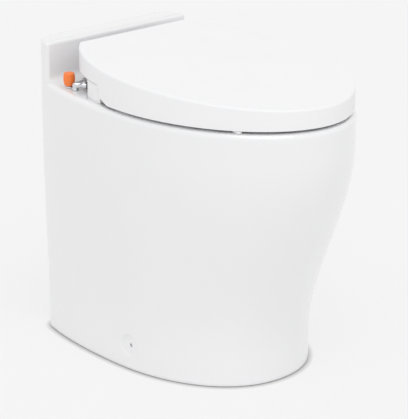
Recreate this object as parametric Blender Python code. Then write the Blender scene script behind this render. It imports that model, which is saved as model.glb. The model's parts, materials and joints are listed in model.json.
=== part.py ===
"""Electric marine toilet: a one-piece china pedestal with a low backrest, a lid and a seat hinged on a bidet
base, a chrome water fitting with an orange plug beside it, and inside the skirt the macerator pump, its
discharge line, the rinse valve and the brackets that hold them. Metres, +Z up, the sitter faces -Y."""

import math

import bmesh
import bpy
import numpy as np
from mathutils import Vector

# Fits and the fineness of round forms
GAP = 0.0003
PLAY = 0.0006
OVERRUN = 0.004
HALF_RING = 24
TURN_LENGTH = 0.08
ROUND_SIDES = 20
PIPE_SIDES = 16
HOSE_SIDES = 10
THIN_SIDES = 8
SMALL_SIDES = 12

# China pedestal
DEPTH = 0.545
RIM_WIDTH = 0.372
FOOT_WIDTH = 0.323
RIM_Z = 0.443
BACKREST_RISE = 0.066
BACKREST_DEPTH = 0.047
RIM_FRONT_REACH = 0.267
FOOT_FRONT_REACH = 0.231
FOOT_SETBACK = 0.097
RIM_REAR_SHARE = 1.40288
FOOT_REAR_SHARE = 1.58525
FRONT_POWER_SHARES = (2.15, 1.96)
REAR_POWER_SHARES = (2.25, 2.12)
REAR_CORNER = 0.036
CHINA_WALL = 0.010
DECK_THICK = 0.012
FOOT_ROUND = 0.003
RIM_ROUND = 0.006
WAIST_SHARES = (0.11, 0.89)
OUTER_LEVEL_SHARES = (0.12, 0.23, 0.33, 0.43, 0.53, 0.63, 0.73, 0.82, 0.91)
INNER_LEVEL_SHARES = (0.88, 0.73, 0.58, 0.43, 0.28, 0.12)
BACKREST_SEAM = 0.0005
BACKREST_ROOT = 0.009
BACKREST_ROUND = 0.005

# Bowl: opening, throat, and its section from the rim down as depth, narrowing and shift shares
BOWL_SIDE_RIM = 0.069
BOWL_FRONT_RIM = 0.051
BOWL_REAR_GAP = 0.015
BOWL_WALL = 0.009
BOWL_LIP = 0.005
THROAT_RADIUS = 0.030
THROAT_Y = 0.020
SPIGOT_LENGTH = 0.030
BOWL_POWER_SHARE = 2.2
BOWL_SHARES = ((0, 0, 0), (0.16, 0.04, 0.02), (0.34, 0.12, 0.1), (0.52, 0.27, 0.27), (0.69, 0.47, 0.5),
               (0.83, 0.67, 0.75), (0.94, 0.86, 0.93), (1, 1, 1))

# Openings in the china
SERVICE_CORNER = 0.0082
SERVICE_DROP = 0.083
DIMPLE_RADIUS = 0.018
DIMPLE_DEPTH = 0.0018
DIMPLE_Y = 0.022
DIMPLE_Z = 0.043
SIDE_SCREW_RADIUS = 0.0028
SIDE_SCREW_FORWARD = 0.004
SIDE_SCREW_LENGTH = 0.020

# Lid
LID_SIDE_INSET = 0.001
LID_FRONT_INSET = 0.0038
LID_REAR_SHARE = 1.23402
LID_CLEARANCE = 0.037
LID_CORNER = 0.006
LID_GAP = 0.0043
LID_RISE = 0.069
LID_SLOPE_SHARE = 0.0736
LID_WALL = 0.003
LID_ROUND = 0.005
LID_CROWN = 0.003
LID_CROWN_SHARES = (0.8, 0.55, 0.28)
REAR_SKIRT_LIFT = 0.0282
SKIRT_STEP = 0.012

# Hinge of the lid and the seat
HINGE_FORWARD = 0.012
HINGE_RISE = 0.031
EYE_RADIUS = 0.008
PIN_RADIUS = 0.003
PIN_HEAD_RADIUS = 0.005
PIN_HEAD = 0.0015
EYE_INNER_X = 0.060
EYE_THICK = 0.008

# Seat ring
SEAT_INSET = 0.0065
SEAT_REAR_GAP = 0.035
SEAT_CORNER = 0.014
SEAT_UNDER_LID = 0.004
SEAT_SIDE_OVERHANG = 0.012
SEAT_END_OVERHANG = 0.0125
SEAT_HOLE_SETBACK = 0.004
SEAT_ROUND = 0.010
SEAT_LIFT = 0.037
SEAT_STEP_FORWARD = 0.0385
PAD_LENGTH = 0.015
PAD_WIDTH = 0.009
PAD_FRONT_SETBACK = 0.0814
PAD_REAR_FORWARD = 0.0503
SEAT_PAD_SHARES = (0.655, 0.885)
LID_PAD_SETBACK = 0.1196
LID_PAD_SHARE = 0.56

# Bidet base on the deck
COVER_REACH = 0.120
COVER_SHOULDER = 0.042
COVER_REAR_INSET = 0.0285
COVER_NARROWING = 0.055
COVER_INSET = 0.0045
COVER_WALL = 0.0025
COVER_RISE = 0.0325
COVER_ROUND = 0.003
BASE_THICK = 0.0025
BOLT_SIDE_INSET = 0.060
BOLT_SETBACK = 0.0415
BOLT_RADIUS = 0.0040
BOLT_HEAD_RADIUS = 0.009
BOLT_HEAD = 0.003
BOLT_LENGTH = 0.042
WASHER_RADIUS = 0.016
WASHER_THICK = 0.0025
NUT_RADIUS = 0.013
NUT_HEIGHT = 0.014

# Bidet nozzle, its guide and its hose
NOZZLE_TILT = math.radians(6)
NOZZLE_RADIUS = 0.0045
NOZZLE_LENGTH = 0.060
NOZZLE_RISE = 0.013
NOZZLE_BACK = 0.002
NOZZLE_JET_RADIUS = 0.001
NOZZLE_JET_SETBACK = 0.006
NOZZLE_TIP_ROUND = 0.0015
GUIDE_WALL = 0.0014
GUIDE_SETBACK = 0.006
GUIDE_LENGTH = 0.056
GUIDE_FOOT_HALF_WIDTH = 0.012
GUIDE_FOOT_LENGTH = 0.020
FEED_HOSE_RADIUS = 0.003
FEED_HOSE_BORE = 0.0018

# Water fitting on the deck: places out from the cover's narrow side and behind its shoulder, heights above the deck
NUT_OUT = 0.0045
NUT_BACK = 0.0307
ELBOW_OUT = 0.020
ELBOW_BACK = 0.0475
PORT_OUT = 0.0182
PORT_BACK = 0.0651
FITTING_RISE = 0.0085
BARREL_RADIUS = 0.005
STUB_RADIUS = 0.0035
STUB_LENGTH = 0.013
UNION_RADIUS = 0.0055
UNION_LENGTH = 0.004
ELBOW_RADIUS = 0.0050
ELBOW_RISE = 0.0135
ARM_HALF_WIDTH = 0.0026
ARM_THICK = 0.0030
PORT_RADIUS = 0.0062
PORT_BORE = 0.0042
BOSS_RADIUS = 0.0035
BOSS_RISE = 0.0155
LEVER_LENGTH = 0.017
LEVER_WIDTH = 0.0042
LEVER_THICK = 0.0018
LEVER_HUB_RADIUS = 0.0038
LEVER_SCREW_RADIUS = 0.002
LEVER_SCREW_RISE = 0.003
PLUG_RADIUS = 0.0096
PLUG_HEIGHT = 0.0217
PLUG_STEM_RADIUS = 0.0037
PLUG_SHARES = ((0.62, 0.0), (0.8, 0.05), (0.92, 0.22), (1.0, 0.5), (0.98, 0.75), (0.93, 0.9), (0.78, 1.0))

# Rinse nozzle in the bowl wall and the sleeve under the bowl
RINSE_DROP = 0.035
RINSE_RADIUS = 0.007
RINSE_BORE = 0.005
RINSE_FLANGE_RADIUS = 0.013
RINSE_FLANGE = 0.003
RINSE_TAIL = 0.022
RINSE_SEAT = 0.0012
SLEEVE_WALL = 0.004
SLEEVE_LAP = 0.016
CLAMP_THICK = 0.0012
CLAMP_WIDTH = 0.009

# Macerator pump on the floor, its shaft along Y
PUMP_Z = 0.078
PUMP_NECK_TOP = 0.148
CHAMBER_RADIUS = 0.050
CHAMBER_WALL = 0.006
CHAMBER_FRONT_Y = -0.030
CHAMBER_REAR_Y = 0.066
NECK_WALL = 0.006
SHAFT_RADIUS = 0.004
CUTTER_RADIUS = 0.038
CUTTER_Y = -0.004
CUTTER_THICK = 0.004
CUTTER_WIDTH = 0.012
IMPELLER_RADIUS = 0.036
IMPELLER_Y = 0.037
IMPELLER_THICK = 0.004
VANE_HEIGHT = 0.010
VANE_THICK = 0.003
VANES = 4
HUB_RADIUS = 0.009
ADAPTER_THICK = 0.010
ADAPTER_RADIUS = 0.058
SEAL_RADIUS = 0.010
SEAL_LENGTH = 0.009
MOTOR_RADIUS = 0.045
MOTOR_WALL = 0.003
MOTOR_LENGTH = 0.105
ROTOR_RADIUS = 0.028
ROTOR_LENGTH = 0.070
END_CAP_THICK = 0.008
PUMP_BOLT_RADIUS = 0.003
PUMP_BOLT_CIRCLE = 0.0535

# Cradle under the motor
CRADLE_THICK = 0.003
CRADLE_HALF_WIDTH = 0.062
CRADLE_SETBACK = 0.018
CRADLE_LENGTH = 0.080
CRADLE_POST = 0.008
FLOOR_HOLE_RADIUS = 0.003
FLOOR_HOLE_INSET = 0.009

# Discharge line on the sitter's left
OUTLET_Y = 0.038
OUTLET_RADIUS = 0.017
OUTLET_WALL = 0.003
OUTLET_SHARE = 0.86667
ELBOW_SIDE_SHARE = 0.65635
ELBOW_BEND = 0.026
ELBOW_STEPS = 7
JOKER_Y = 0.092
JOKER_FLANGE = 0.004
JOKER_LENGTH = 0.030
JOKER_LIP = 0.006
JOKER_WALL = 0.002
BARB_LENGTH = 0.075
BARB_RIDGE = 0.0012
BARBS = 4
UNION_NUT_WALL = 0.0045
UNION_NUT_LENGTH = 0.020

# Service bracket on the sitter's right with the electrics and the rinse valve
PANEL_SIDE_INSET = 0.0395
PANEL_THICK = 0.002
PANEL_FRONT_Y = 0.100
PANEL_REAR_Y = 0.205
PANEL_DROP = 0.093
PANEL_FOOT_SHARE = 0.58333
MODULE_LOW = 0.060
MODULE_HEIGHT = 0.110
MODULE_DEPTH = 0.034
MODULE_LENGTH = 0.080
VALVE_Z = 0.255
VALVE_BODY = 0.036
VALVE_PORT_LENGTH = 0.020
COIL_RADIUS = 0.016
COIL_HEIGHT = 0.030
COIL_ROOF = 0.003
PLUNGER_RADIUS = 0.0045
PLUNGER_LENGTH = 0.026
PLUNGER_TRAVEL = 0.003
PLUNGER_DEPTH = 0.010
VALVE_Y = 0.165
HOSE_WALL = 0.002

# Leads from the control module
LEAD_RADIUS = 0.0025
LEAD_BEND_SHARE = 12

# Floor brackets behind the side screws
BRACKET_THICK = 0.003
BRACKET_HEIGHT = 0.064
BRACKET_LENGTH = 0.045
BRACKET_FOOT = 0.034

# Places that follow from the sizes above
REAR_Y = DEPTH / 2
FRONT_Y = -DEPTH / 2
BACKREST_Y = REAR_Y - BACKREST_DEPTH
RIM_CENTRE = FRONT_Y + RIM_FRONT_REACH
RIM_REAR_REACH = (REAR_Y - RIM_CENTRE) * RIM_REAR_SHARE
FOOT_CENTRE = FRONT_Y + FOOT_SETBACK + FOOT_FRONT_REACH
FOOT_REAR_REACH = (REAR_Y - FOOT_CENTRE) * FOOT_REAR_SHARE
SERVICE_TOP = RIM_Z - SERVICE_DROP
FOOT_SHAPE = (FOOT_WIDTH / 2, FOOT_CENTRE, FOOT_FRONT_REACH, FRONT_POWER_SHARES[0],
              FOOT_REAR_REACH, REAR_POWER_SHARES[0])
RIM_SHAPE = (RIM_WIDTH / 2, RIM_CENTRE, RIM_FRONT_REACH, FRONT_POWER_SHARES[1],
             RIM_REAR_REACH, REAR_POWER_SHARES[1])
LID_HALF_WIDTH = RIM_WIDTH / 2 - LID_SIDE_INSET
LID_FRONT_REACH = RIM_FRONT_REACH - LID_FRONT_INSET
LID_REAR_Y = BACKREST_Y - LID_CLEARANCE
LID_REAR_REACH = (LID_REAR_Y - RIM_CENTRE) * LID_REAR_SHARE
LID_SHAPE = (LID_HALF_WIDTH, RIM_CENTRE, LID_FRONT_REACH, FRONT_POWER_SHARES[1],
             LID_REAR_REACH, REAR_POWER_SHARES[1])
LID_MIDDLE = (LID_REAR_Y + RIM_CENTRE - LID_FRONT_REACH) / 2
SKIRT_Z = RIM_Z + LID_GAP
HINGE_Y = LID_REAR_Y - HINGE_FORWARD
HINGE_Z = RIM_Z + HINGE_RISE
COVER_FRONT_Y = LID_REAR_Y - COVER_REACH
COVER_STEP_Y = COVER_FRONT_Y + COVER_SHOULDER
COVER_REAR_Y = LID_REAR_Y - COVER_REAR_INSET
COVER_NARROW_X = LID_HALF_WIDTH - COVER_NARROWING
BOLT_X = COVER_NARROW_X - BOLT_SIDE_INSET
BOLT_Y = COVER_FRONT_Y + BOLT_SETBACK
FITTING_NUT = (-COVER_NARROW_X - NUT_OUT, COVER_STEP_Y + NUT_BACK)
FITTING_ELBOW = (-COVER_NARROW_X - ELBOW_OUT, COVER_STEP_Y + ELBOW_BACK)
FITTING_PORT = (-COVER_NARROW_X - PORT_OUT, COVER_STEP_Y + PORT_BACK)
BOWL_REAR_Y = COVER_FRONT_Y - BOWL_REAR_GAP
BOWL_HALF_WIDTH = RIM_WIDTH / 2 - BOWL_SIDE_RIM
BOWL_HALF_LENGTH = (BOWL_REAR_Y - FRONT_Y - BOWL_FRONT_RIM) / 2
BOWL_Y = FRONT_Y + BOWL_FRONT_RIM + BOWL_HALF_LENGTH
SEAT_HALF_WIDTH = BOWL_HALF_WIDTH - SEAT_SIDE_OVERHANG
SEAT_HALF_LENGTH = BOWL_HALF_LENGTH - SEAT_END_OVERHANG
SEAT_OPENING_Y = BOWL_Y + SEAT_HOLE_SETBACK
SEAT_STEP_Y = COVER_FRONT_Y - SEAT_STEP_FORWARD
SPIGOT_Z = PUMP_NECK_TOP + GAP
THROAT_Z = SPIGOT_Z + SPIGOT_LENGTH
BASE_TOP = RIM_Z + GAP + BASE_THICK
COVER_LOW = BASE_TOP + GAP
COVER_TOP = RIM_Z + COVER_RISE
LUG_X = EYE_INNER_X + EYE_THICK + GAP
LID_EYE_X = LUG_X + EYE_THICK + GAP
ADAPTER_Y = CHAMBER_REAR_Y + GAP
MOTOR_Y = ADAPTER_Y + ADAPTER_THICK + GAP
MOTOR_END_Y = MOTOR_Y + MOTOR_LENGTH
CRADLE_FRONT_Y = MOTOR_Y + CRADLE_SETBACK
CRADLE_REAR_Y = CRADLE_FRONT_Y + CRADLE_LENGTH
ELBOW_X = FOOT_WIDTH / 2 * ELBOW_SIDE_SHARE
OUTLET_LENGTH = (ELBOW_X - ELBOW_BEND - CHAMBER_RADIUS) * OUTLET_SHARE
PANEL_X = PANEL_SIDE_INSET - FOOT_WIDTH / 2
PANEL_FOOT = (-PANEL_X - CRADLE_HALF_WIDTH) * PANEL_FOOT_SHARE
PANEL_TOP = RIM_Z - PANEL_DROP

# Colours and finishes as base colour, roughness and metallic value
FINISHES = {
    "glazed_china": ((0.86, 0.87, 0.88), 0.12, 0.0),
    "white_seat_plastic": ((0.88, 0.88, 0.89), 0.25, 0.0),
    "white_base_plastic": ((0.84, 0.84, 0.85), 0.32, 0.0),
    "white_pad_rubber": ((0.80, 0.80, 0.80), 0.6, 0.0),
    "chrome": ((0.80, 0.81, 0.82), 0.12, 1.0),
    "orange_plastic": ((0.93, 0.20, 0.04), 0.45, 0.0),
    "black_rubber": ((0.03, 0.03, 0.032), 0.7, 0.0),
    "black_plastic": ((0.04, 0.04, 0.045), 0.45, 0.0),
    "grey_plastic": ((0.36, 0.37, 0.38), 0.5, 0.0),
    "stainless": ((0.62, 0.63, 0.64), 0.3, 1.0),
    "painted_motor": ((0.06, 0.065, 0.07), 0.4, 0.0),
    "copper": ((0.60, 0.28, 0.14), 0.4, 1.0),
    "clear_hose": ((0.75, 0.77, 0.76), 0.35, 0.0),
}


def clear_scene():
    for old in list(bpy.data.objects):
        bpy.data.objects.remove(old, do_unlink=True)


def finish(name):
    """The named material, made once."""
    if name in bpy.data.materials:
        return bpy.data.materials[name]
    colour, roughness, metallic = FINISHES[name]
    made = bpy.data.materials.new(name)
    made.use_nodes = True
    shader = made.node_tree.nodes["Principled BSDF"]
    shader.inputs["Base Color"].default_value = (*colour, 1.0)
    shader.inputs["Roughness"].default_value = roughness
    shader.inputs["Metallic"].default_value = metallic
    return made


def add_object(name, mesh, finish_name=None):
    made = bpy.data.objects.new(name, mesh)
    bpy.context.scene.collection.objects.link(made)
    if finish_name:
        mesh.materials.append(finish(finish_name))
    mesh.shade_smooth()
    mesh.set_sharp_from_angle(angle=math.radians(35))
    return made


def from_bmesh(name, shape, finish_name=None):
    bmesh.ops.recalc_face_normals(shape, faces=shape.faces)
    mesh = bpy.data.meshes.new(name)
    shape.to_mesh(mesh)
    shape.free()
    return add_object(name, mesh, finish_name)


def loft(name, rings, finish_name=None, wrap=False):
    """A closed skin over rings that run anticlockwise seen from above: up an outer wall, down an inner one.
    A ring of one point is a tip, and open ends are closed with one flat face."""
    points, starts = [], []
    for ring in rings:
        starts.append(len(points))
        points.extend(tuple(float(v) for v in p) for p in ring)
    faces = []
    pairs = list(zip(range(len(rings)), range(1, len(rings))))
    if wrap:
        pairs.append((len(rings) - 1, 0))
    for low, high in pairs:
        count = max(len(rings[low]), len(rings[high]))
        for j in range(count):
            k = (j + 1) % count
            a, b = starts[low], starts[high]
            if len(rings[low]) == 1:
                faces.append((a, b + k, b + j))
            elif len(rings[high]) == 1:
                faces.append((a + j, a + k, b))
            else:
                faces.append((a + j, a + k, b + k, b + j))
    if not wrap and len(rings[0]) > 1:
        faces.append(tuple(starts[0] + j for j in reversed(range(len(rings[0])))))
    if not wrap and len(rings[-1]) > 1:
        faces.append(tuple(starts[-1] + j for j in range(len(rings[-1]))))
    mesh = bpy.data.meshes.new(name)
    mesh.from_pydata(points, [], faces)
    return add_object(name, mesh, finish_name)


def half_oval(shape, steps=90):
    """The right half of a plan outline from its front tip: two quarter ovals of unlike reach and power."""
    width, centre, front, front_power, reach, rear_power = shape
    turn = np.linspace(0, math.pi / 2, steps)
    front_arc = np.stack([width * np.sin(turn) ** (2 / front_power),
                          centre - front * np.cos(turn) ** (2 / front_power)], 1)
    rear_arc = np.stack([width * np.cos(turn) ** (2 / rear_power),
                         centre + reach * np.sin(turn) ** (2 / rear_power)], 1)
    return np.concatenate([front_arc, rear_arc[1:]])


def half_outline(shape, rear, corner, inward=0.0, steps=15):
    """The half oval cut off by a flat rear edge, with a round corner where they meet, moved inward as a whole."""
    arc = half_oval(shape)
    step = np.gradient(arc, axis=0)
    outward = np.stack([step[:, 1], -step[:, 0]], 1)
    outward /= np.linalg.norm(outward, axis=1, keepdims=True)
    middles = arc - corner * outward
    last = int(np.argmax(middles[:, 1] >= rear - corner))
    start = math.atan2(outward[last, 1], outward[last, 0])
    middle = (middles[last, 0], rear - corner)
    sweep = np.linspace(start, math.pi / 2, steps)
    radius = corner - inward
    round_corner = np.stack([middle[0] + radius * np.cos(sweep), middle[1] + radius * np.sin(sweep)], 1)
    return np.concatenate([(arc - inward * outward)[:last], round_corner, [(0, rear - inward)]])


def whole_ring(half, count=HALF_RING, base=None):
    """A mirrored closed outline of twice count points, closer together where it, or the base it follows, turns."""
    step = np.diff(half if base is None else base, axis=0)
    length = np.linalg.norm(step, axis=1)
    heading = np.unwrap(np.arctan2(step[:, 1], step[:, 0]))
    turned = np.concatenate([[0], np.abs(np.diff(heading))])
    weight = np.concatenate([[0], np.cumsum(length + TURN_LENGTH * turned)])
    places = np.linspace(0, weight[-1], count + 1)
    right = np.stack([np.interp(places, weight, half[:, axis]) for axis in (0, 1)], 1)
    right[0, 0] = right[-1, 0] = 0
    left = right[-2:0:-1] * (-1, 1)
    return np.concatenate([right, left])


def inset(ring, distance):
    """The outline moved inward by a distance along its own normals."""
    step = np.roll(ring, -1, axis=0) - np.roll(ring, 1, axis=0)
    inward = np.stack([-step[:, 1], step[:, 0]], 1)
    inward /= np.linalg.norm(inward, axis=1, keepdims=True)
    return ring + distance * inward


def inner_ring(shape, rear, corner, inward):
    """An outline moved inward, its points matched to those of the outline itself."""
    return whole_ring(half_outline(shape, rear, corner, inward), base=half_outline(shape, rear, corner))


def at_height(ring, height):
    """The flat outline as 3-D points at a height, which may follow y."""
    heights = [height(y) if callable(height) else height for y in ring[:, 1]]
    return np.column_stack([ring, heights])


def circle(radius, sides, turn_share=0.0):
    turn = (np.arange(sides) + turn_share) * 2 * math.pi / sides
    return np.stack([radius * np.cos(turn), radius * np.sin(turn)], 1)


def turned(name, profile, origin, axis, finish_name=None, sides=ROUND_SIDES, wrap=False, turn_share=0.0):
    """A turned piece: (radius, distance) pairs run up its outer side from origin along axis."""
    rings = []
    facing = Vector(axis).to_track_quat("Z", "Y")
    for radius, along in profile:
        flat = circle(radius, sides, turn_share) if radius else np.zeros((1, 2))
        rings.append([Vector(origin) + facing @ Vector((x, y, along)) for x, y in flat])
    return loft(name, rings, finish_name, wrap)


def rod(name, start, end, radius, finish_name=None, sides=SMALL_SIDES, turn_share=0.0):
    span = Vector(end) - Vector(start)
    profile = [(radius, 0), (radius, span.length)]
    return turned(name, profile, start, span, finish_name, sides, turn_share=turn_share)


def pipe(name, start, end, outer, inner, finish_name=None, sides=ROUND_SIDES):
    span = Vector(end) - Vector(start)
    profile = [(outer, 0), (outer, span.length), (inner, span.length), (inner, 0)]
    return turned(name, profile, start, span, finish_name, sides, wrap=True)


def box(name, low, high, finish_name=None):
    shape = bmesh.new()
    bmesh.ops.create_cube(shape, size=1)
    low, high = Vector(low), Vector(high)
    for corner in shape.verts:
        corner.co = [a + (c + 0.5) * (b - a) for a, b, c in zip(low, high, corner.co)]
    return from_bmesh(name, shape, finish_name)


def hull(name, points, finish_name=None):
    shape = bmesh.new()
    for point in points:
        shape.verts.new(point)
    bmesh.ops.convex_hull(shape, input=shape.verts)
    loose = [v for v in shape.verts if not v.link_faces]
    bmesh.ops.delete(shape, geom=loose, context="VERTS")
    return from_bmesh(name, shape, finish_name)


def smooth_path(start, leaving, middles, end, arriving, lead, steps=5):
    """Points along a smooth curve through the given ones, with a straight lead at each end."""
    leaving, arriving = Vector(leaving).normalized() * lead, Vector(arriving).normalized() * lead
    points = [start + leaving, start + leaving * 2, *middles, end - arriving * 2, end - arriving]
    ends = [start, *points, end]
    made = [start]
    for before, a, b, after in zip(ends, ends[1:], ends[2:], ends[3:]):
        for step in range(steps):
            t = step / steps
            made.append(0.5 * (2 * a + (b - before) * t + (2 * before - 5 * a + 4 * b - after) * t ** 2
                               + (3 * a - before - 3 * b + after) * t ** 3))
    return made + [points[-1], end]


def swept(name, path, outer, inner=0, finish_name=None, sides=SMALL_SIDES):
    """A round bar, or a pipe where it has an inner radius, along a path, its ends square to it."""
    path = [Vector(p) for p in path]
    frame = (path[1] - path[0]).to_track_quat("Z", "Y")
    skins = {outer: [], inner: []}
    for i, point in enumerate(path):
        ahead = (path[min(i + 1, len(path) - 1)] - path[max(i - 1, 0)]).normalized()
        frame = (frame @ Vector((0, 0, 1))).rotation_difference(ahead) @ frame
        for radius, skin in skins.items():
            if radius:
                skin.append([point + frame @ Vector((x, y, 0)) for x, y in circle(radius, sides)])
    if not inner:
        return loft(name, skins[outer], finish_name)
    return loft(name, skins[outer] + skins[inner][::-1], finish_name, wrap=True)


def boolean(target, tool, operation):
    """A Boolean left on the target; its tool stays as a hidden guide."""
    step = target.modifiers.new(operation.lower(), "BOOLEAN")
    step.operation = operation
    step.object = tool
    tool.hide_render = True
    tool.display_type = "WIRE"
    tool.name = f"tool_{target.name}_{len(target.modifiers)}"


def cut(target, *tools):
    for tool in tools:
        boolean(target, tool, "DIFFERENCE")


def add(target, *tools):
    for tool in tools:
        boolean(target, tool, "UNION")


def hand_word(hand):
    return "right" if hand < 0 else "left"


def set_origin(piece, place):
    """Puts a piece's origin on its joint's axis and leaves its surface where it is."""
    place = Vector(place)
    for corner in piece.data.vertices:
        corner.co -= place
    piece.location = place


def blend(z):
    """How far the skirt has swelled from the foot's outline to the rim's at a height."""
    low, high = (share * RIM_Z for share in WAIST_SHARES)
    t = min(max((z - low) / (high - low), 0), 1)
    return t * t * (3 - 2 * t)


def skirt_outline(z):
    part = blend(z)
    shape = [foot + (rim - foot) * part for foot, rim in zip(FOOT_SHAPE, RIM_SHAPE)]
    return whole_ring(half_outline(shape, REAR_Y, REAR_CORNER))


def skirt_ring(z, inward=0.0):
    return at_height(inset(skirt_outline(z), inward), z)


def rear_flat(shape):
    """How far the flat rear edge of a plan outline reaches from the middle."""
    return float(half_outline(shape, REAR_Y, REAR_CORNER)[-2][0])


def skirt_half_width(y, z):
    """How far the skirt's outer face lies from the middle at a place along it, behind its widest point."""
    ring = skirt_outline(z)
    right = ring[:HALF_RING + 1]
    right = right[right[:, 1].argsort()]
    return float(np.interp(y, right[:, 1], right[:, 0]))


def oval_toward(ring, middle, shape):
    """An oval about its own middle, each point in the direction of a point of the ring from a given middle."""
    half_width, centre, half_length, power = shape
    way = ring - (0, middle)
    reach = ((np.abs(way[:, :1]) / half_width) ** power + (np.abs(way[:, 1:]) / half_length) ** power) ** (-1 / power)
    return way * reach + (0, centre)


def bowl_outline(narrowing, shift, grow=0.0):
    half_width = BOWL_HALF_WIDTH + (THROAT_RADIUS - BOWL_HALF_WIDTH) * narrowing + grow
    half_length = BOWL_HALF_LENGTH + (THROAT_RADIUS - BOWL_HALF_LENGTH) * narrowing + grow
    power = BOWL_POWER_SHARE + (2 - BOWL_POWER_SHARE) * narrowing
    centre = BOWL_Y + (THROAT_Y - BOWL_Y) * shift
    return oval_toward(skirt_outline(RIM_Z), BOWL_Y, (half_width, centre, half_length, power))


def make_pedestal():
    """Skirt, rim and deck, bowl and spigot as one skin, then the backrest and the openings."""
    lip_z = RIM_Z - BOWL_LIP
    depth = lip_z - THROAT_Z
    rings = [skirt_ring(0, FOOT_ROUND), skirt_ring(FOOT_ROUND)]
    rings += [skirt_ring(share * RIM_Z) for share in OUTER_LEVEL_SHARES]
    rings += [skirt_ring(RIM_Z - RIM_ROUND), skirt_ring(RIM_Z - RIM_ROUND * 0.35, RIM_ROUND * 0.3),
              skirt_ring(RIM_Z, RIM_ROUND)]
    rings.append(at_height(bowl_outline(0, 0, BOWL_LIP), RIM_Z))
    for down, narrowing, shift in BOWL_SHARES:
        rings.append(at_height(bowl_outline(narrowing, shift), lip_z - down * depth))
    rings.append(at_height(bowl_outline(1, 1), SPIGOT_Z))
    rings.append(at_height(bowl_outline(1, 1, BOWL_WALL), SPIGOT_Z))
    for down, narrowing, shift in reversed(BOWL_SHARES[1:]):
        lowered = lip_z - down * depth - BOWL_WALL * down
        rings.append(at_height(bowl_outline(narrowing, shift, BOWL_WALL), lowered))
    under_deck = RIM_Z - DECK_THICK
    rings.append(at_height(bowl_outline(0, 0, BOWL_WALL), under_deck))
    rings.append(skirt_ring(under_deck, CHINA_WALL))
    rings += [skirt_ring(share * RIM_Z, CHINA_WALL) for share in INNER_LEVEL_SHARES]
    rings.append(skirt_ring(0, CHINA_WALL))
    pedestal = loft("china_pedestal", rings, "glazed_china", wrap=True)
    add(pedestal, make_backrest())
    half_width = min(rear_flat(shape) for shape in (FOOT_SHAPE, RIM_SHAPE)) + SERVICE_CORNER
    service = box("service", (-half_width, REAR_Y - CHINA_WALL * 2, -OVERRUN),
                  (half_width, REAR_Y + OVERRUN, SERVICE_TOP))
    cut(pedestal, service)
    side = skirt_half_width(DIMPLE_Y, DIMPLE_Z)
    for hand in (-1, 1):
        seat = Vector((hand * (side - DIMPLE_DEPTH), DIMPLE_Y, DIMPLE_Z))
        outward = Vector((hand, 0, 0))
        cut(pedestal, rod("dimple", seat, seat + outward * (DIMPLE_DEPTH + OVERRUN), DIMPLE_RADIUS,
                          sides=ROUND_SIDES))
        hole = Vector((0, DIMPLE_Y - SIDE_SCREW_FORWARD, DIMPLE_Z))
        cut(pedestal, rod("side_hole", hole + outward * (side - CHINA_WALL * 2),
                          hole + outward * (side + OVERRUN), SIDE_SCREW_RADIUS + PLAY))
        bolt = Vector((hand * BOLT_X, BOLT_Y, under_deck - OVERRUN))
        cut(pedestal, rod("bolt_hole", bolt, bolt + Vector((0, 0, DECK_THICK + 2 * OVERRUN)),
                          BOLT_RADIUS + PLAY))
    front, back, height = rinse_seats()
    cut(pedestal, rod("rinse_hole", (0, front - OVERRUN, height), (0, back + OVERRUN, height), RINSE_RADIUS + PLAY))
    for face, end in ((front, front - OVERRUN * 2), (back, back + OVERRUN * 2)):
        cut(pedestal, rod("rinse_seat", (0, min(face, end), height), (0, max(face, end), height),
                          RINSE_FLANGE_RADIUS + PLAY, sides=ROUND_SIDES))
    return pedestal


def make_backrest():
    half = half_outline(RIM_SHAPE, REAR_Y, REAR_CORNER)
    behind = half[half[:, 1] > BACKREST_Y]
    edge = np.array([[np.interp(BACKREST_Y, half[:, 1], half[:, 0]), BACKREST_Y]])
    right = np.concatenate([edge, behind[1:-1:3], half[-1:]])
    outline = np.concatenate([right, right[-2::-1] * (-1, 1)])
    top = RIM_Z + BACKREST_RISE
    levels = ((RIM_Z - BACKREST_ROOT, 0), (top - BACKREST_ROUND, 0),
              (top - BACKREST_ROUND * 0.3, BACKREST_ROUND * 0.3), (top, BACKREST_ROUND))
    return loft("backrest", [at_height(inset(outline, BACKREST_SEAM + d), z) for z, d in levels])


def rinse_seats():
    """The two flats on the bowl's rear wall that the rinse nozzle is clamped between, and its height."""
    height = RIM_Z - RINSE_DROP
    return (bowl_wall_y(height, 0) + RINSE_SEAT, bowl_wall_y(height, BOWL_WALL) - RINSE_SEAT, height)


def bowl_wall_y(height, outward):
    """Where the bowl's rear wall lies at a height, inside or outside."""
    lip_z = RIM_Z - BOWL_LIP
    places = [(lip_z - down * (lip_z - THROAT_Z) - outward * down, bowl_outline(narrowing, shift, outward)[:, 1].max())
              for down, narrowing, shift in reversed(BOWL_SHARES)]
    return float(np.interp(height, *zip(*places)))


def lid_outline(inward=0.0, scale=1.0):
    ring = inner_ring(LID_SHAPE, LID_REAR_Y, LID_CORNER, inward)
    return (ring - (0, LID_MIDDLE)) * scale + (0, LID_MIDDLE)


def lid_top(y):
    return RIM_Z + LID_RISE + LID_SLOPE_SHARE * (y - LID_REAR_Y)


def rear_step(name, front_y, top_z):
    """A cutter that lifts an underside behind front_y up to top_z, along a slanting front face."""
    rise = SKIRT_STEP / REAR_SKIRT_LIFT
    low_z, end_y = SKIRT_Z - OVERRUN, REAR_Y + OVERRUN
    side = [(front_y - OVERRUN * rise, low_z), (front_y + (top_z - SKIRT_Z) * rise, top_z), (end_y, top_z),
            (end_y, low_z)]
    return hull(name, [(x, y, z) for x in (-RIM_WIDTH, RIM_WIDTH) for y, z in side])


def lid_level(drop, crown_share=0.0):
    return lambda y: lid_top(y) - drop + LID_CROWN * crown_share


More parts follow.
